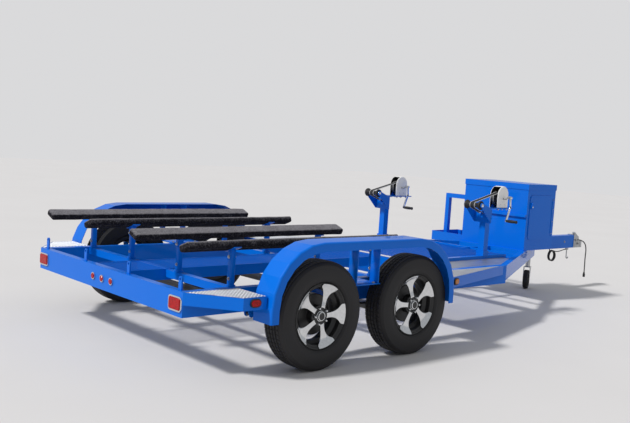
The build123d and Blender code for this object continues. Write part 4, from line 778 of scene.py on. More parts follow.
# %% Rivets, nuts and cap
RIVETS = [(0.196, 0.056), (0.196, 0.035), (0.196, 0.012), (0.176, 0.042), (0.158, 0.025)]
RIVET_RADIUS = 0.0042
NUT_CIRCLE = 0.0520
NUT_RADIUS = 0.0092
NUT = [(NUT_RADIUS, 0.057), (NUT_RADIUS, 0.066), (NUT_RADIUS * 0.86, 0.069), (NUT_RADIUS * 0.78, 0.076),
       (NUT_RADIUS * 0.40, 0.0785)]
CAP = [
    (0.025, 0.057), (0.033, 0.058), (0.0338, 0.06), (0.033, 0.063), (0.03, 0.0635), (0.0296, 0.0735),
    (0.0284, 0.0762), (0.0258, 0.0776), (0.0236, 0.0776), (0.0228, 0.0766), (0.0216, 0.0745), (0.012, 0.075),
    (0.006, 0.0752),
]
CAP_DARK = 0.0226


def flare_height(radius):
    """The height of a flare's face at a radius."""
    for (r0, _, z0), (r1, _, z1) in zip(FLARE_ROWS, FLARE_ROWS[1:]):
        if r0 <= radius <= r1:
            return z0 + (z1 - z0) * (radius - r0) / (r1 - r0)
    return FLARE_ROWS[-1][2]


def rivet(x, y, height):
    """A low round head."""
    head = [(RIVET_RADIUS * share, height + rise)
            for share, rise in ((1, -0.001), (0.96, 0.0008), (0.70, 0.0021), (0.25, 0.0027))]
    return place(turned("rivet", head, 10), (x, y, 0))


def wheel_rivets(name):
    """The dark rivets of the five flares."""
    return five_times(name, join(name, [
        rivet(side * across, sqrt(radius ** 2 - across ** 2), flare_height(radius))
        for radius, across in RIVETS for side in (-1, 1)]))


def wheel_face(name):
    """Five flares, and the nuts between them."""
    pieces = [five_times(name, flare(name))]
    for number in range(SPOKES):
        angle = radians(90 + 360 / SPOKES * (number + 0.5))
        nut = break_edges(turned("nut", NUT, 6), 0.0006, 1, 40)
        pieces.append(place(nut, (NUT_CIRCLE * cos(angle), NUT_CIRCLE * sin(angle), 0)))
    return join(name, pieces)


# %% Four wheels
SPOKE_TURN = {"front_left": 10, "front_right": 158, "rear_left": -25, "rear_right": 126}
AXLE_WAY = Vector((0, 1, 0))
wheel_parts = [
    ("rim", wheel_rim("rim"), "black_steel"), ("flares", wheel_face("face"), "machined_alloy"),
    ("rivets", wheel_rivets("rivets"), "black_steel"), ("cap", turned("cap", CAP, 40), "chrome_trim"),
]
for key, centre in WHEELS.items():
    for part, source, slot in wheel_parts:
        copy = twin(source, "wheel_%s_%s" % (part, key))
        place(copy, turn=(0, 0, radians(SPOKE_TURN[key])))
        place(copy, centre, FACE_OUT[key.split("_")[1]])
        settle(copy, slot, "wheel_" + key, "wheel_" + key, smooth=30)
    copy.data.materials.append(FINISHES["black_steel"])
    for facet in copy.data.polygons:
        off_axle = (facet.center - centre).cross(AXLE_WAY).length
        if facet.normal.y * centre.y > 0 and off_axle < CAP_DARK:
            facet.material_index = 1
for part, source, slot in wheel_parts:
    bpy.data.objects.remove(source)

# %% [markdown]
# ## Fenders
# Each fender is one sheet, folded in short flats at both shoulders, with its outer edge rolled over into a
# lip. A long box gives that shape quickly: its two top edges are bevelled in six flats, its outer outline is
# rounded, the inside and the middle of the outer side are opened, and the shell gets a sheet's thickness.
# In the photograph it is narrower than the solids and its shoulders are larger, so it keeps their outline.

# %% Fenders
FENDER_WIDE = 0.170
FENDER_SHOULDER = 0.390
FENDER_FLATS = 6
FENDER_ROLL = 0.014
FENDER_LIP = 0.044
FENDER_SHEET = 0.003
FENDER_SPARE = 0.10


def fender(hand, side):
    """One fender, opened below and on its inside. The spare height below is cut off again."""
    low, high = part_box("fender_" + hand)
    outer = max(abs(low.y), abs(high.y))
    height = high.z - low.z
    sheet = box("fender_sheet_" + hand, high.x - low.x, FENDER_WIDE, height + FENDER_SPARE)
    pick(sheet, "EDGE", lambda edge: lowest(edge, 2) > 0 and run(edge, 1) > 0.01)
    bevel(FENDER_SHOULDER, FENDER_FLATS)
    pick(sheet, "FACE", lambda face: face.normal.z < -0.9 or face.normal.y * side < -0.9)
    bpy.ops.mesh.delete(type="FACE")
    pick(sheet, "FACE", lambda face: face.normal.y * side > 0.9)
    bpy.ops.mesh.inset(thickness=FENDER_LIP + FENDER_ROLL, use_boundary=True)
    bpy.ops.mesh.delete(type="FACE")
    edge_y = side * FENDER_WIDE / 2
    pick(sheet, "EDGE", lambda edge: all(abs(vert.co.y - edge_y) < 0.0001 for vert in edge.verts)
         and any(abs(face.normal.y) < 0.5 for face in edge.link_faces))
    bevel(FENDER_ROLL, 8)
    bpy.ops.mesh.select_all(action="SELECT")
    foot = FENDER_SPARE / 2 - height / 2
    bpy.ops.mesh.bisect(plane_co=(0, 0, foot), plane_no=(0, 0, 1), clear_inner=True)
    clean()
    thicken(sheet, FENDER_SHEET)
    return place(sheet, ((low.x + high.x) / 2, side * (outer - FENDER_WIDE / 2),
                         high.z - (height + FENDER_SPARE) / 2))


# %% Brackets and bolts
BRACKET_RAIL, BRACKET_FACE, BRACKET_OUTER = 0.905, 1.116, 1.195
BRACKET_FOOT, BRACKET_TOP = 0.503, 0.8075
BRACKET_THICK = 0.008
WASHER = 1.55


def plate(name, low, high, edge=0.0015):
    """A flat plate between two corners, its edges broken."""
    low, high = Vector(low), Vector(high)
    piece = box(name, *(high - low))
    bevel(edge, 2)
    return place(piece, (low + high) / 2)


def bolt(spot, axis, radius=0.009, height=0.007):
    """A hexagon bolt head on its washer, standing along an axis."""
    head = turned("bolt", [(radius * WASHER, 0), (radius * WASHER, radius * 0.2), (radius, radius * 0.2),
                           (radius, height), (radius * 0.8, height * 1.2)], 6)
    return place(head, spot, Vector(axis).to_track_quat("Z", "Y").to_euler())


def fender_bracket(hand, side):
    """The bracket between the wheels: a foot on the rail, and two uprights with their ears."""
    deck = BRACKET_FOOT + BRACKET_THICK
    parts = [plate("foot", station(-0.150, side * BRACKET_RAIL, BRACKET_FOOT),
                   station(0.120, side * BRACKET_OUTER, deck))]
    for x in (-0.105, 0.097):
        parts += [plate("upright", station(x, side * BRACKET_FACE, deck),
                        station(x + BRACKET_THICK, side * BRACKET_OUTER, BRACKET_TOP)),
                  plate("ear", station(x - 0.020, side * BRACKET_FACE, BRACKET_TOP - 0.005),
                        station(x + 0.028, side * BRACKET_OUTER, BRACKET_TOP))]
    return join("fender_bracket_" + hand, parts)


for hand, side in SIDES:
    settle(fender(hand, side), "blue_paint", "frame", "fender_" + hand, smooth=13)
    settle(fender_bracket(hand, side), "blue_paint", "frame", "fender_" + hand)
    bolts = [bolt(station(x, side * y, BRACKET_FOOT + BRACKET_THICK), (0, 0, 1))
             for x in (-0.135, 0.080) for y in (0.925, 1.170)]
    settle(join("bracket_bolts_" + hand, bolts), "zinc", "frame")

# %% [markdown]
# ## Bunks
# A bunk is a plank in outdoor carpet. The carpet rounds its edges, is drawn over both ends and never lies
# quite flat. The board starts as a box at its real size. Its long edges and its ends are bevelled, it is cut
# across many times, and a slow cloud pattern pushes the wrap in and out by a millimetre or two. Each board
# is moved to its own place in the pattern for that, and back again.

# %% Bunk boards
BUNK_LONG, BUNK_WIDE, BUNK_THICK = 1.800, 0.099, 0.047
BUNK_ROUND = 0.014
BUNK_TILT = radians(21)
BUNK_MIDDLE = (-0.330, 0.7545)
BUNKS = [("left_outer", 0.884, 1), ("left_inner", 0.306, -1), ("right_inner", -0.306, 1),
         ("right_outer", -0.884, -1)]
PATTERN_STEP = 0.7
HEM_HALF = 0.885
STAPLES = 18

rolls = bpy.data.textures.new("carpet_rolls", "CLOUDS")
rolls.noise_scale = 0.16
rolls.noise_depth = 1


def bunk_board(name):
    """One wrapped board along x, its middle at the origin."""
    board = box(name, BUNK_LONG, BUNK_WIDE, BUNK_THICK)
    bevel(BUNK_ROUND, 4)
    for side in (-1, 1):
        pick(board, "FACE", lambda face: face.normal.x * side > 0.95)
        bpy.ops.mesh.inset(thickness=0.004)
        shift(side * 0.0025, 0, 0)
    pick(board, "EDGE", lambda edge: edge.calc_length() > 1.0)
    bpy.ops.mesh.subdivide(number_cuts=90)
    pick(board, "FACE", lambda face: abs(face.normal.z) > 0.95 and face.calc_area() > 0.0003)
    bpy.ops.mesh.subdivide(number_cuts=1)
    clean()
    return board


def underside(name):
    """The two edges of the carpet, stapled under the board."""
    low = -BUNK_THICK / 2
    parts = [plate("hem", (-HEM_HALF, side * 0.012 - 0.022, low - 0.003),
                   (HEM_HALF, side * 0.012 + 0.018, low - 0.0005), 0.001) for side in (-1, 1)]
    for number in range(STAPLES):
        x = -0.85 + number * 0.1
        parts.append(plate("staple", (x - 0.006, -0.001, low - 0.0042),
                           (x + 0.006, 0.001, low - 0.0025), 0.0004))
    return join(name, parts)


for number, (key, y, lean) in enumerate(BUNKS):
    board = place(bunk_board("carpet_" + key), (PATTERN_STEP * number, 0, 0))
    modify(board, "DISPLACE", texture=rolls, strength=0.0055, mid_level=0.5, texture_coords="LOCAL")
    place(board, (-PATTERN_STEP * number, 0, 0))
    board = join("carpet_" + key, [board, underside("underside")])
    place(board, station(BUNK_MIDDLE[0], y, BUNK_MIDDLE[1]), (lean * BUNK_TILT, 0, 0))
    settle(board, "grey_carpet", "frame", "bunk_" + key, smooth=50)

# %% [markdown]
# ## Expanded metal
# The walkway and the front deck are expanded metal: a sheet that is slit and pulled open into diamonds. The
# real sheet is a row of tilted zigzag strands that meet at their tips. So one zigzag is bent from a narrow
# strip, repeated along the deck with an array, thickened, tilted, paired with its mirror image, and the pair
# is repeated across. The frame's edge then cuts it off, as the welder's shears did.

# %% Expanded metal
MESH_LONG = 0.034
MESH_SHORT = 0.0165
STRAND = 0.0026
STRAND_THICK = 0.0022
STRAND_TILT = radians(38)
WALK_HALF, WALK_LOW, WALK_TOP = 0.185, 0.499, 0.503
DECK_HALF, DECK_LOW, DECK_START = 0.570, 0.525, 1.1495


def strand(name, length, lift):
    """One zigzag strand along x, from 0 to length, its tips lifted to one side or the other."""
    half = MESH_LONG / 2
    piece = box(name, half, STRAND, 1, operator=bpy.ops.mesh.primitive_plane_add)
    shift(half / 2, 0, 0)
    pick(piece, "VERT", lambda vert: vert.co.x > half / 2)
    shift(0, lift, 0)
    pick(piece, "EDGE", lambda edge: lowest(edge, 0) > half * 0.9)
    extrude(half, -lift, 0)
    repeat(piece, ceil(length / MESH_LONG), MESH_LONG, 0, 0, use_merge_vertices=True, merge_threshold=0.0001)
    thicken(piece, STRAND_THICK, offset=0)
    return place(piece, turn=(STRAND_TILT, 0, 0))


def expanded(name, low, high):
    """A sheet of expanded metal that fills a rectangle, its top at high z."""
    length, width = high.x - low.x, high.y - low.y
    rise = MESH_SHORT / 2 - STRAND / 2
    first = strand("strand", length + MESH_LONG, rise)
    second = place(strand("strand", length + MESH_LONG, -rise), (0, MESH_SHORT, 0))
    sheet = repeat(join(name, [first, second]), ceil(width / MESH_SHORT) + 1, 0, MESH_SHORT, 0)
    top = max(vert.co.z for vert in sheet.data.vertices)
    place(sheet, (low.x - MESH_LONG / 2, low.y - MESH_SHORT / 2, high.z - top))
    edit(sheet)
    for spot, facing in ((low, (-1, 0, 0)), (low, (0, -1, 0)), (high, (1, 0, 0)), (high, (0, 1, 0))):
        cut_off(spot, facing)
    return settle(sheet, "blue_paint", "frame", "deck_mesh", smooth=20)


mesh_low, mesh_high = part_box("deck_mesh")
seam = station(DECK_START, 0, 0).x
expanded("walkway_mesh", Vector((mesh_low.x, -WALK_HALF, WALK_LOW)), Vector((seam, WALK_HALF, WALK_TOP)))
expanded("front_deck_mesh", Vector((seam, -DECK_HALF, DECK_LOW)), Vector((mesh_high.x, DECK_HALF, mesh_high.z)))

# %% [markdown]
# ## Tread plate
# The steps are bright aluminium tread plate, rolled with short raised bars that lie crosswise by turns. The
# plates themselves come from the frame. One bar is drawn from an eight-cornered disc, stretched, raised and
# narrowed at its top. Four of them, crossed by turns, are the unit that the arrays repeat, and each step's
# outline cuts the field off. The right steps carry the left ones' bars, mirrored.

# %% Tread bars
BAR_PITCH = 0.0245
BAR_SPREAD = 1.06
BAR_LONG, BAR_WIDE, BAR_RISE = 0.0108, 0.0031, 0.0016
TREAD_TOP = 0.503
STEP_PLATES = {
    "rear": [(-1.246, 0.960), (-0.876, 0.960), (-0.876, 1.226), (-1.036, 1.226)],
    "front": [(0.808, 0.958), (1.800, 0.958), (0.808, 1.214)],
}


def tread_bar(x, y, turn):
    """One raised bar, turned by an angle in degrees."""
    bar = add("bar", bpy.ops.mesh.primitive_circle_add, vertices=8, radius=1, fill_type="NGON")
    bpy.ops.transform.resize(value=(BAR_LONG, BAR_WIDE, 1))
    extrude(0, 0, BAR_RISE)
    bpy.ops.transform.resize(value=(0.82, 0.5, 1))
    return place(bar, (x, y, 0), (0, 0, radians(turn)))


def tread_field(name, outline):
    """Crossed bars over an outline that runs round to the left."""
    quarter = BAR_PITCH / 4
    field = join(name, [tread_bar(-quarter, -quarter, 45), tread_bar(quarter, quarter, 45),
                        tread_bar(-quarter, quarter, -45), tread_bar(quarter, -quarter, -45)])
    pitch = BAR_PITCH * BAR_SPREAD
    starts = []
    for axis, step in ((0, (pitch, 0, 0)), (1, (0, pitch, 0))):
        places = [point[axis] for point in outline]
        starts.append(min(places))
        repeat(field, ceil((max(places) - min(places)) / pitch) + 1, *step)
    place(field, station(*starts, TREAD_TOP))
    edit(field)
    for (x0, y0), (x1, y1) in zip(outline, outline[1:] + outline[:1]):
        cut_off(station(x0, y0, 0), (y1 - y0, x0 - x1, 0))
    clean()
    bpy.ops.mesh.dissolve_degenerate(threshold=0.00005)
    begin()
    return field


for key, outline in STEP_PLATES.items():
    left = tread_field("tread_bars_%s_left" % key, outline)
    right = twin(left, "tread_bars_%s_right" % key)
    edit(right)
    bpy.ops.transform.resize(value=(1, -1, 1), center_override=(0, 0, 0))
    clean()
    for field in (left, right):
        settle(field, "tread_aluminium", "frame", smooth=20)

# %% [markdown]
# ## Bunk posts
# Each post is a square tube with its corners rounded, and its top is cut to the board's tilt. A strap under
# the board and an ear on the tube hold it with bolts, and a collar stands around the foot. The tube is a long
# box, moved at its top edges to make the slant, and the strap is a plate that tilts with the board.

# %% Bunk posts
POST_WIDE = 0.035
POST_FOOT = 0.500
STRAP_THICK = 0.006
STRAP_DROP = 0.0225
RAIL_INSIDE = 0.901
BESIDE_RAIL = 0.8
POST_STATIONS = (-0.875, 0.355)
COLLAR_WALL = 0.006


def bunk_post(x, y, lean):
    """A post with its strap, and its bolts as a second list."""
    half = POST_WIDE / 2
    reach = RAIL_INSIDE - half - 0.001
    foot_y = max(-reach, min(reach, y))
    drop = (STRAP_DROP + STRAP_THICK) / cos(BUNK_TILT)
    top = BUNK_MIDDLE[1] - drop + lean * tan(BUNK_TILT) * (foot_y - y)
    tube = box("tube", POST_WIDE, POST_WIDE, top - POST_FOOT)
    for side in (-1, 1):
        pick(tube, "VERT", lambda vert: vert.co.z > 0 and vert.co.y * side > 0)
        shift(0, 0, lean * side * half * tan(BUNK_TILT))
    pick(tube, "EDGE", lambda edge: run(edge, 2) > 0.05)
    bevel(0.005, 3)
    place(tube, station(x, foot_y, (POST_FOOT + top) / 2))
    strap = plate("strap", (-0.030, -0.0475, -STRAP_DROP - STRAP_THICK), (0.030, 0.0475, -STRAP_DROP))
    place(strap, station(x, y, BUNK_MIDDLE[1]), (lean * BUNK_TILT, 0, 0))
    ear = plate("ear", station(x - half - 0.005, foot_y - 0.014, top - 0.058),
                station(x - half, foot_y + 0.014, top - 0.004), 0.001)
    outer = half + COLLAR_WALL
    far_side = foot_y + (outer if abs(foot_y) < BESIDE_RAIL else half)
    collar = plate("collar", station(x - outer, foot_y - outer, POST_FOOT - 0.002),
                   station(x + outer, far_side, POST_FOOT + 0.012), 0.002)
    if foot_y < -BESIDE_RAIL:
        place(collar, (0, 0.003, 0))
    bolts = [bolt(station(ahead, foot_y, z), (way, 0, 0), 0.0075, height) for ahead, z, way, height in (
        (x - half - 0.005, top - 0.040, -1, 0.007), (x - half, POST_FOOT + 0.050, -1, 0.007),
        (x + half, top - 0.040, 1, 0.008))]
    return [tube, strap, ear, collar], bolts


post_parts, post_bolts = [], []
for x in POST_STATIONS:
    for key, y, lean in BUNKS:
        parts, bolts = bunk_post(x, y, lean)
        post_parts += parts
        post_bolts += bolts
settle(join("bunk_post_set", post_parts), "blue_paint", "frame", "bunk_posts")
settle(join("bunk_post_bolts", post_bolts), "zinc", "frame")

# %% [markdown]
# ## Winch hoods
# Each winch wears a narrow white plastic hood: two cheeks with round tops, and a band that joins them over
# the top and down the front, so that the strap leaves through a dark mouth at the rear. A box gets its two
# upper edges bevelled until they nearly meet, the cheeks' outline is rounded, the faces of the bottom and the
# mouth are taken away, and the wall gets its thickness. The mouth is dark from the black strap roll and from
# painted shade: the hood's inner faces get black plastic, though the real hood is white inside. The photograph
# shows the hood narrower than the solid that holds its place.

# %% Winch hoods
HOOD_LONG, HOOD_WIDE, HOOD_TALL = 0.158, 0.088, 0.188
HOOD_CURVE = 0.0780
HOOD_EDGE = 0.010
HOOD_AHEAD = 2.221
HOOD_FOOT = 0.949
HOOD_WALL = 0.003
MOUTH_X = -0.028


def hood(name):
    """One hood around the origin, open below and at its mouth."""
    piece = box(name, HOOD_LONG, HOOD_WIDE, HOOD_TALL)
    pick(piece, "EDGE", lambda edge: lowest(edge, 2) > 0 and run(edge, 1) > 0.01)
    bevel(HOOD_CURVE, 14)
    pick(piece, "EDGE", lambda edge: abs(abs(edge.verts[0].co.y) - HOOD_WIDE / 2) < 0.0001
         and run(edge, 1) < 0.0001 and max(vert.co.z for vert in edge.verts) > -HOOD_TALL / 2 + 0.001)
    bevel(HOOD_EDGE, 4)
    pick(piece, "FACE", lambda face: face.normal.z < -0.9 or (abs(face.normal.y) < 0.3
         and face.calc_center_median().x < MOUTH_X))
    bpy.ops.mesh.delete(type="FACE")
    clean()
    thicken(piece, HOOD_WALL)
    return break_edges(piece, 0.0006, 1, 60)


for hand, side in SIDES:
    middle = station(HOOD_AHEAD, side * WINCH_Y, HOOD_FOOT + HOOD_TALL / 2)
    shell = place(hood("hood_shell_" + hand), middle)
    settle(shell, "white_shell", "frame", "winch_covers", smooth=30)
    # The inner faces get black plastic as painted shade, for the real hood is white inside as well.
    shell.data.materials.append(FINISHES["black_plastic"])
    for face in shell.data.polygons:
        if face.normal.dot(face.center - middle) < 0:
            face.material_index = 1

# %% [markdown]
# The strap is wound on its drum in many thin layers, so its roll shows fine rings at the sides, and each
# layer lies a little off the one below. The roll is a turned form with a small step for every layer.

# %% Strap rolls and bolts
ROLL_LAYERS = 9
ROLL_CORE, ROLL_OUTER, ROLL_HALF = 0.028, 0.0562, 0.0240
LAYER_PITCH, LAYER_THICK, LAYER_SWAY = 0.0030, 0.0024, 0.0007
DRUM_X, DRUM_Z = 2.222, 1.028
STAND_BOLT_Y = 0.038


def layer_edges(way, rate):
    """The stepped edges of all layers on one side, from the core outwards."""
    edges = []
    for layer in range(ROLL_LAYERS):
        radius = 0.0300 + layer * LAYER_PITCH
        sway = LAYER_SWAY * sin(rate * layer)
        edges += [(radius, way * 0.0245 + sway), (radius + LAYER_THICK, way * 0.0248 + sway)]
    return edges


roll_section = [(ROLL_CORE, -ROLL_HALF)] + layer_edges(-1, 2.3)
roll_section += [(ROLL_OUTER, -ROLL_HALF), (ROLL_OUTER, ROLL_HALF)]
roll_section += layer_edges(1, 1.7)[::-1] + [(ROLL_CORE, ROLL_HALF)]
for hand, side in SIDES:
    middle = side * WINCH_Y
    roll = turned("strap_roll_" + hand, roll_section, 48, closed=True)
    settle(place(roll, station(DRUM_X, middle, DRUM_Z), FACE_OUT[hand]), "black_webbing", "frame", smooth=40)
    bolts = [bolt(station(x, middle + across, 0.940), (0, 0, -1), 0.0075, 0.010)
             for x in (2.165, DRUM_X, 2.290) for across in (-STAND_BOLT_Y, STAND_BOLT_Y)]
    bolts += [bolt(station(DRUM_X + along, middle + STAND_BOLT_Y * way, 0.975), (0, way, 0), 0.006, 0.005)
              for along in (-0.030, 0.030) for way in (-1, 1)]
    settle(join("winch_bolts_" + hand, bolts), "zinc", "frame")

# %% [markdown]
# ## Bow rollers
# A bow roller is two black rubber bells on a bright sleeve, held in its yoke by a pin with chromed caps. The
# bells are turned with a soft lip, and the sleeve and the caps are turned forms of their own, so that each
# can have its finish.

# %% Bow rollers
BELL = [
    (0.009, 0.03), (0.02, 0.03), (0.0212, 0.034), (0.0225, 0.04), (0.0265, 0.048), (0.033, 0.057),
    (0.0368, 0.063), (0.038, 0.066), (0.038, 0.073), (0.037, 0.0765), (0.0345, 0.078), (0.024, 0.0778),
    (0.019, 0.0765), (0.018, 0.08), (0.009, 0.08),
]
SLEEVE = [
    (0.009, -0.031), (0.0203, -0.031), (0.0206, -0.02), (0.02, -0.019), (0.02, 0.019), (0.0206, 0.02),
    (0.0203, 0.031), (0.009, 0.031),
]
ROLLER_CAP = [(0.015, 0), (0.015, 0.002), (0.012, 0.006), (0.007, 0.0085), (0.003, 0.009)]
ROLLER_X, ROLLER_Z = 1.868, 0.972
CAP_REACH = 0.0885
for hand, side in SIDES:
    middle = station(ROLLER_X, side * WINCH_Y, ROLLER_Z)
    bells = join("roller_bells_" + hand, [place(turned("bell", BELL, 40, closed=True), turn=(half_turn, 0, 0))
                                          for half_turn in (pi, 0)])
    sleeve = turned("roller_sleeve_" + hand, SLEEVE, 40, closed=True)
    for piece, slot in ((bells, "black_rubber"), (sleeve, "chrome_trim")):
        place(piece, middle, FACE_OUT["left"])
        settle(piece, slot, "bow_roller_" + hand, "bow_roller_" + hand, smooth=40)
    caps = [place(turned("cap", ROLLER_CAP, 24), (middle.x, side * WINCH_Y + way * CAP_REACH, middle.z),
                  FACE_OUT[outwards]) for way, outwards in ((-1, "right"), (1, "left"))]
    settle(join("roller_caps_" + hand, caps), "chrome_trim", "frame", smooth=40)

# %% [markdown]
# ## Winch cranks
# The crank is a flat bar, bent at its knee, with a nut on the shaft and a turned plastic grip. Two short
# plates with half-round ends overlap at the knee.

# %% Winch cranks
CRANK_X, CRANK_Z = 2.233, 1.041
CRANK_STOPS = [(0.0, 0.0), (0.008, -0.082), (-0.040, -0.200)]
CRANK_WIDE, CRANK_THICK, CRANK_OVERLAP = 0.022, 0.007, 0.020
CRANK_NUT = [(0.0125, 0), (0.0125, 0.01), (0.0105, 0.0125), (0.005, 0.013)]
CRANK_SHAFT = [(0.012, 0), (0.013, 0.001), (0.013, 0.03), (0.011, 0.031)]
GRIP = [
    (0.004, 0), (0.01, 0.0005), (0.0118, 0.003), (0.011, 0.008), (0.0128, 0.018), (0.014, 0.04),
    (0.0138, 0.062), (0.0124, 0.082), (0.0118, 0.09), (0.0136, 0.095), (0.014, 0.1), (0.0125, 0.104),
    (0.007, 0.1055),
]


def crank_bar(name):
    """The flat bar in x and z, its face towards -y, with half-round ends."""
    bars = []
    for near, far in zip(CRANK_STOPS, CRANK_STOPS[1:]):
        way = Vector((far[0] - near[0], 0, far[1] - near[1]))
        bar = box("bar", way.length + CRANK_OVERLAP, CRANK_WIDE, CRANK_THICK)
        pick(bar, "EDGE", lambda edge: run(edge, 2) > 0.001)
        bevel(0.0105, 6)
        pick(bar, "EDGE", lambda edge: run(edge, 2) < 0.0001
             and len(edge.link_faces) == 2 and edge.calc_face_angle(0) > 0.8)
        bevel(0.0012, 2)
        place(bar, turn=FACE_OUT["right"])
        place(bar, ((near[0] + far[0]) / 2, 0, (near[1] + far[1]) / 2), (0, atan2(-way.z, way.x), 0))
        bars.append(bar)
    return join(name, bars)


for hand, side in SIDES:
    base = station(CRANK_X, side * WINCH_Y, CRANK_Z)
    end_x, end_z = CRANK_STOPS[-1]
    bar = place(crank_bar("crank_bar"), base + Vector((0, -0.110, 0)))
    nut = place(turned("nut", CRANK_NUT, 6), base + Vector((0, -0.112, 0)), FACE_OUT["right"])
    shaft = place(turned("shaft", CRANK_SHAFT, 32), base + Vector((0, -0.080, 0)), FACE_OUT["right"])
    settle(join("crank_" + hand, [bar, nut, shaft]), "chrome_trim", "frame", "winch_cranks", smooth=40)
    grip = turned("crank_grip_" + hand, GRIP, 24)
    place(grip, base + Vector((end_x, -0.117, end_z)), FACE_OUT["right"])
    settle(grip, "black_rubber", "frame", "winch_cranks", smooth=40)

# %% [markdown]
# ## Weld beads
# The frame is welded, and a hand-laid bead shows as a small cord of overlapping ripples in each corner. A bead
# is turned: a thin rod whose radius rises and falls once for each ripple, laid along its corner.

# %% Weld beads
RIPPLE = 0.0042
RIPPLE_SHARE = 0.16
BEAD_RADIUS, BEAD_END = 0.0034, 0.0034 * 0.55
STAND_FOOT, STAND_HALF, STAND_X = 0.530, 0.030, 2.040
PLATFORM_POST = ((3.2475, 0.770), (3.2925, 0.816), 0.561)


def weld(start, end):
    """A rippled bead between two points."""
    way = end - start
    ripples = max(3, round(way.length / RIPPLE))
    section = [(BEAD_END, 0)]
    for step in range(2 * ripples - 1):
        share = RIPPLE_SHARE if step % 2 == 0 else -RIPPLE_SHARE
        section.append((BEAD_RADIUS * (1.0 + share), way.length * (step + 1) / (2 * ripples)))
    section.append((BEAD_END, way.length))
    return place(turned("weld", section, 8), start, way.to_track_quat("Z", "Y").to_euler())


def weld_round(low, high, z):
    """Beads around the foot of an upright box."""
    corners = [station(x, y, z) for x, y in (low, (high[0], low[1]), high, (low[0], high[1]))]
    return [weld(near, far) for near, far in zip(corners, corners[1:] + corners[:1])]


beads = []
for side in (-1, 1):
    near, far = side * WINCH_Y - STAND_HALF, side * WINCH_Y + STAND_HALF
    beads += weld_round((STAND_X - STAND_HALF, near), (STAND_X + STAND_HALF, far), STAND_FOOT)
    beads += [weld(station(2.005, y, 0.939), station(2.075, y, 0.939)) for y in (near, far)]
beads += weld_round(*PLATFORM_POST)
settle(join("weld_beads", beads), "blue_paint", "frame", smooth=60)

# %% [markdown]
# ## Axle U-bolts
# Two U-bolts clamp each spring on its axle: a threaded rod bent around the tube, its ends through the pad with
# a nut on each. A small circle is spun half a turn, its two ends are extruded into legs, and nuts are turned.

# %% Axle U-bolts
SPRING_Y, U_BOLT_Z = 0.9265, 0.262
ROD = 0.0055
BEND = 0.0330
LEG = 0.062
NUT_DROP = 0.016


def u_bolt(spot):
    """A U-bolt around the axle's tube, its legs up and one before the other along x."""
    rod = add("u_bolt", bpy.ops.mesh.primitive_circle_add, vertices=10, radius=ROD)
    shift(BEND, 0, 0)
    bpy.ops.mesh.spin(steps=14, angle=pi, center=(0, 0, 0), axis=(0, 1, 0))
    for end in (-1, 1):
        pick(rod, "EDGE", lambda edge: edge.is_boundary and all(vert.co.x * end > 0 for vert in edge.verts))
        extrude(0, 0, LEG)
        bpy.ops.mesh.edge_face_add()
    clean()
    nuts = [place(bolt((0, 0, 0), (0, 0, 1), 0.0085, 0.008), (end * BEND, 0, LEG - NUT_DROP))
            for end in (-1, 1)]
    return place(join("u_bolt", [rod] + nuts), spot)


bolts = [u_bolt(station(ahead * AXLE_HALF, side * SPRING_Y + across, U_BOLT_Z))
         for side in (-1, 1) for ahead in (-1, 1) for across in (-0.021, 0.021)]
settle(join("axle_u_bolts", bolts), "zinc", "frame")

# %% [markdown]
# ## Toolbox hardware
# The side door hangs on a long hinge at its front edge and shuts with a black paddle latch that has a bright
# lock in it. The hinge is turned: its knuckles are stretches of one thin rod with narrow gaps between them.

# %% Toolbox hardware
HINGE_X, HINGE_LOW, HINGE_HIGH = 3.4400, 0.640, 1.006
HINGE_RADIUS, HINGE_GAP, HINGE_END = 0.0040, 0.0028, 0.0020
DOOR_FACE = -0.3823
KNUCKLES = 12
LOCK = [(0.0085, 0), (0.0085, 0.0016), (0.0072, 0.0024), (0.006, 0.0024), (0.0056, 0.0012), (0.0012, 0.0012)]


def long_hinge(name, length):
    """A thin rod along z, cut into knuckles."""
    pitch = length / KNUCKLES
    section = [(HINGE_END, 0.0), (HINGE_RADIUS, 0.0004)]
    for number in range(1, KNUCKLES):
        section += [(radius, number * pitch + off) for radius, off in (
            (HINGE_RADIUS, -0.0008), (HINGE_GAP, -0.0005), (HINGE_GAP, 0.0005), (HINGE_RADIUS, 0.0008))]
    return turned(name, section + [(HINGE_RADIUS, length - 0.0004), (HINGE_END, length)], 14)


hinge = place(long_hinge("door_hinge_knuckles", HINGE_HIGH - HINGE_LOW), station(HINGE_X, DOOR_FACE, HINGE_LOW))
settle(hinge, "blue_paint", "frame", smooth=50)
lock = place(turned("door_lock", LOCK, 28), station(3.073, -0.3943, 0.928), FACE_OUT["right"])
settle(lock, "chrome_trim", "toolbox_door", smooth=40)
screws = [bolt(station(3.462, -0.3768, z), (0, -1, 0), 0.0040, 0.0030) for z in (0.660, 0.780, 0.900, 1.000)]
screws += [bolt(station(x, 0.377, z), (0, 1, 0), 0.0045, 0.0035) for x in (3.10, 3.38) for z in (0.60, 1.02)]
settle(join("toolbox_screws", screws), "zinc", "frame")

# %% [markdown]
# ## Bolts of the tongue
# Two bolts on each side hold the coupler to the tongue, and a third stands behind them. They are the same
# turned bolt in other sizes.

# %% Bolts of the tongue
bolts = [bolt(station(x, side * y, z), (0, side, 0), radius, height) for side in (-1, 1)
         for x, y, z, radius, height in ((4.520, 0.0475, 0.520, 0.0085, 0.0075),
                                         (4.575, 0.0475, 0.480, 0.0085, 0.0075),
                                         (4.300, 0.0378, 0.507, 0.0080, 0.0070))]
settle(join("tongue_bolts", bolts), "zinc", "frame")

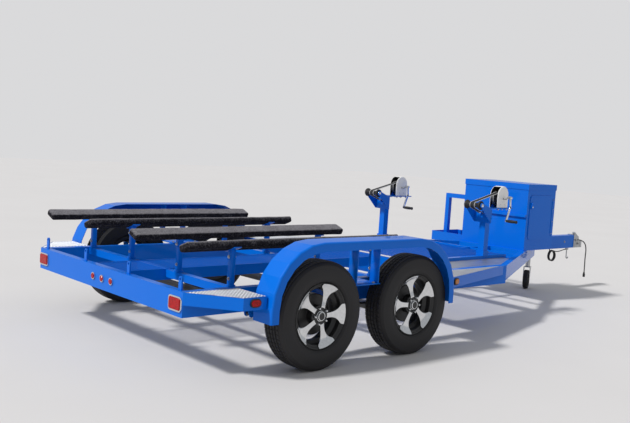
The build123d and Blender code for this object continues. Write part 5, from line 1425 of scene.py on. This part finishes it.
# %% [markdown]
# ## Light and floor
# A pale floor, one large soft sun from behind and to the left, and a bright even sky that fills the shaded
# sides. Only the camera sees the grey backdrop, so that it doesn't wash out the paint.

# %% Light and floor
FLOOR_SIZE = 60.0
FLOOR_COLOUR = (0.62, 0.60, 0.585)
FLOOR_PALE = (0.66, 0.64, 0.625)
SUN_DIRECTION = Vector((0.90, -0.20, -1.0))
SUN_STRENGTH = 2.9
SUN_SOFTNESS = radians(6)
SKY_COLOUR = (0.92, 0.95, 1.0)
SKY_STRENGTH = 0.50
BACKDROP = (0.70, 0.70, 0.71)

bpy.ops.object.select_all(action="DESELECT")
bpy.ops.mesh.primitive_plane_add(size=FLOOR_SIZE, location=(0, 0, 0))
floor = bpy.context.object
floor.name = "floor"
floor_finish = Finish("floor_finish")
floor.data.materials.append(floor_finish.surface(
    Base_Color=floor_finish.mix(floor_finish.noise(0.8, 3), FLOOR_COLOUR, FLOOR_PALE), Roughness=0.8))
floor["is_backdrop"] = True

sun_data = bpy.data.lights.new("sun", "SUN")
sun_data.energy = SUN_STRENGTH
sun_data.angle = SUN_SOFTNESS
sun = bpy.data.objects.new("sun", sun_data)
sun.rotation_euler = SUN_DIRECTION.to_track_quat("-Z", "Y").to_euler()
bpy.context.collection.objects.link(sun)

world = bpy.data.worlds.new("world")
bpy.context.scene.world = world
world.use_nodes = True
sky = world.node_tree.nodes
shown = sky.new("ShaderNodeBackground")
shown.inputs["Color"].default_value = (*BACKDROP, 1.0)
sky["Background"].inputs["Color"].default_value = (*SKY_COLOUR, 1.0)
sky["Background"].inputs["Strength"].default_value = SKY_STRENGTH
ray = sky.new("ShaderNodeLightPath")
chooser = sky.new("ShaderNodeMixShader")
for output, socket in ((ray.outputs["Is Camera Ray"], chooser.inputs["Fac"]),
                       (sky["Background"].outputs[0], chooser.inputs[1]),
                       (shown.outputs[0], chooser.inputs[2]),
                       (chooser.outputs[0], sky["World Output"].inputs["Surface"])):
    world.node_tree.links.new(output, socket)
bpy.context.scene.view_settings.view_transform = "Standard"

# %% Finish
low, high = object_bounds()
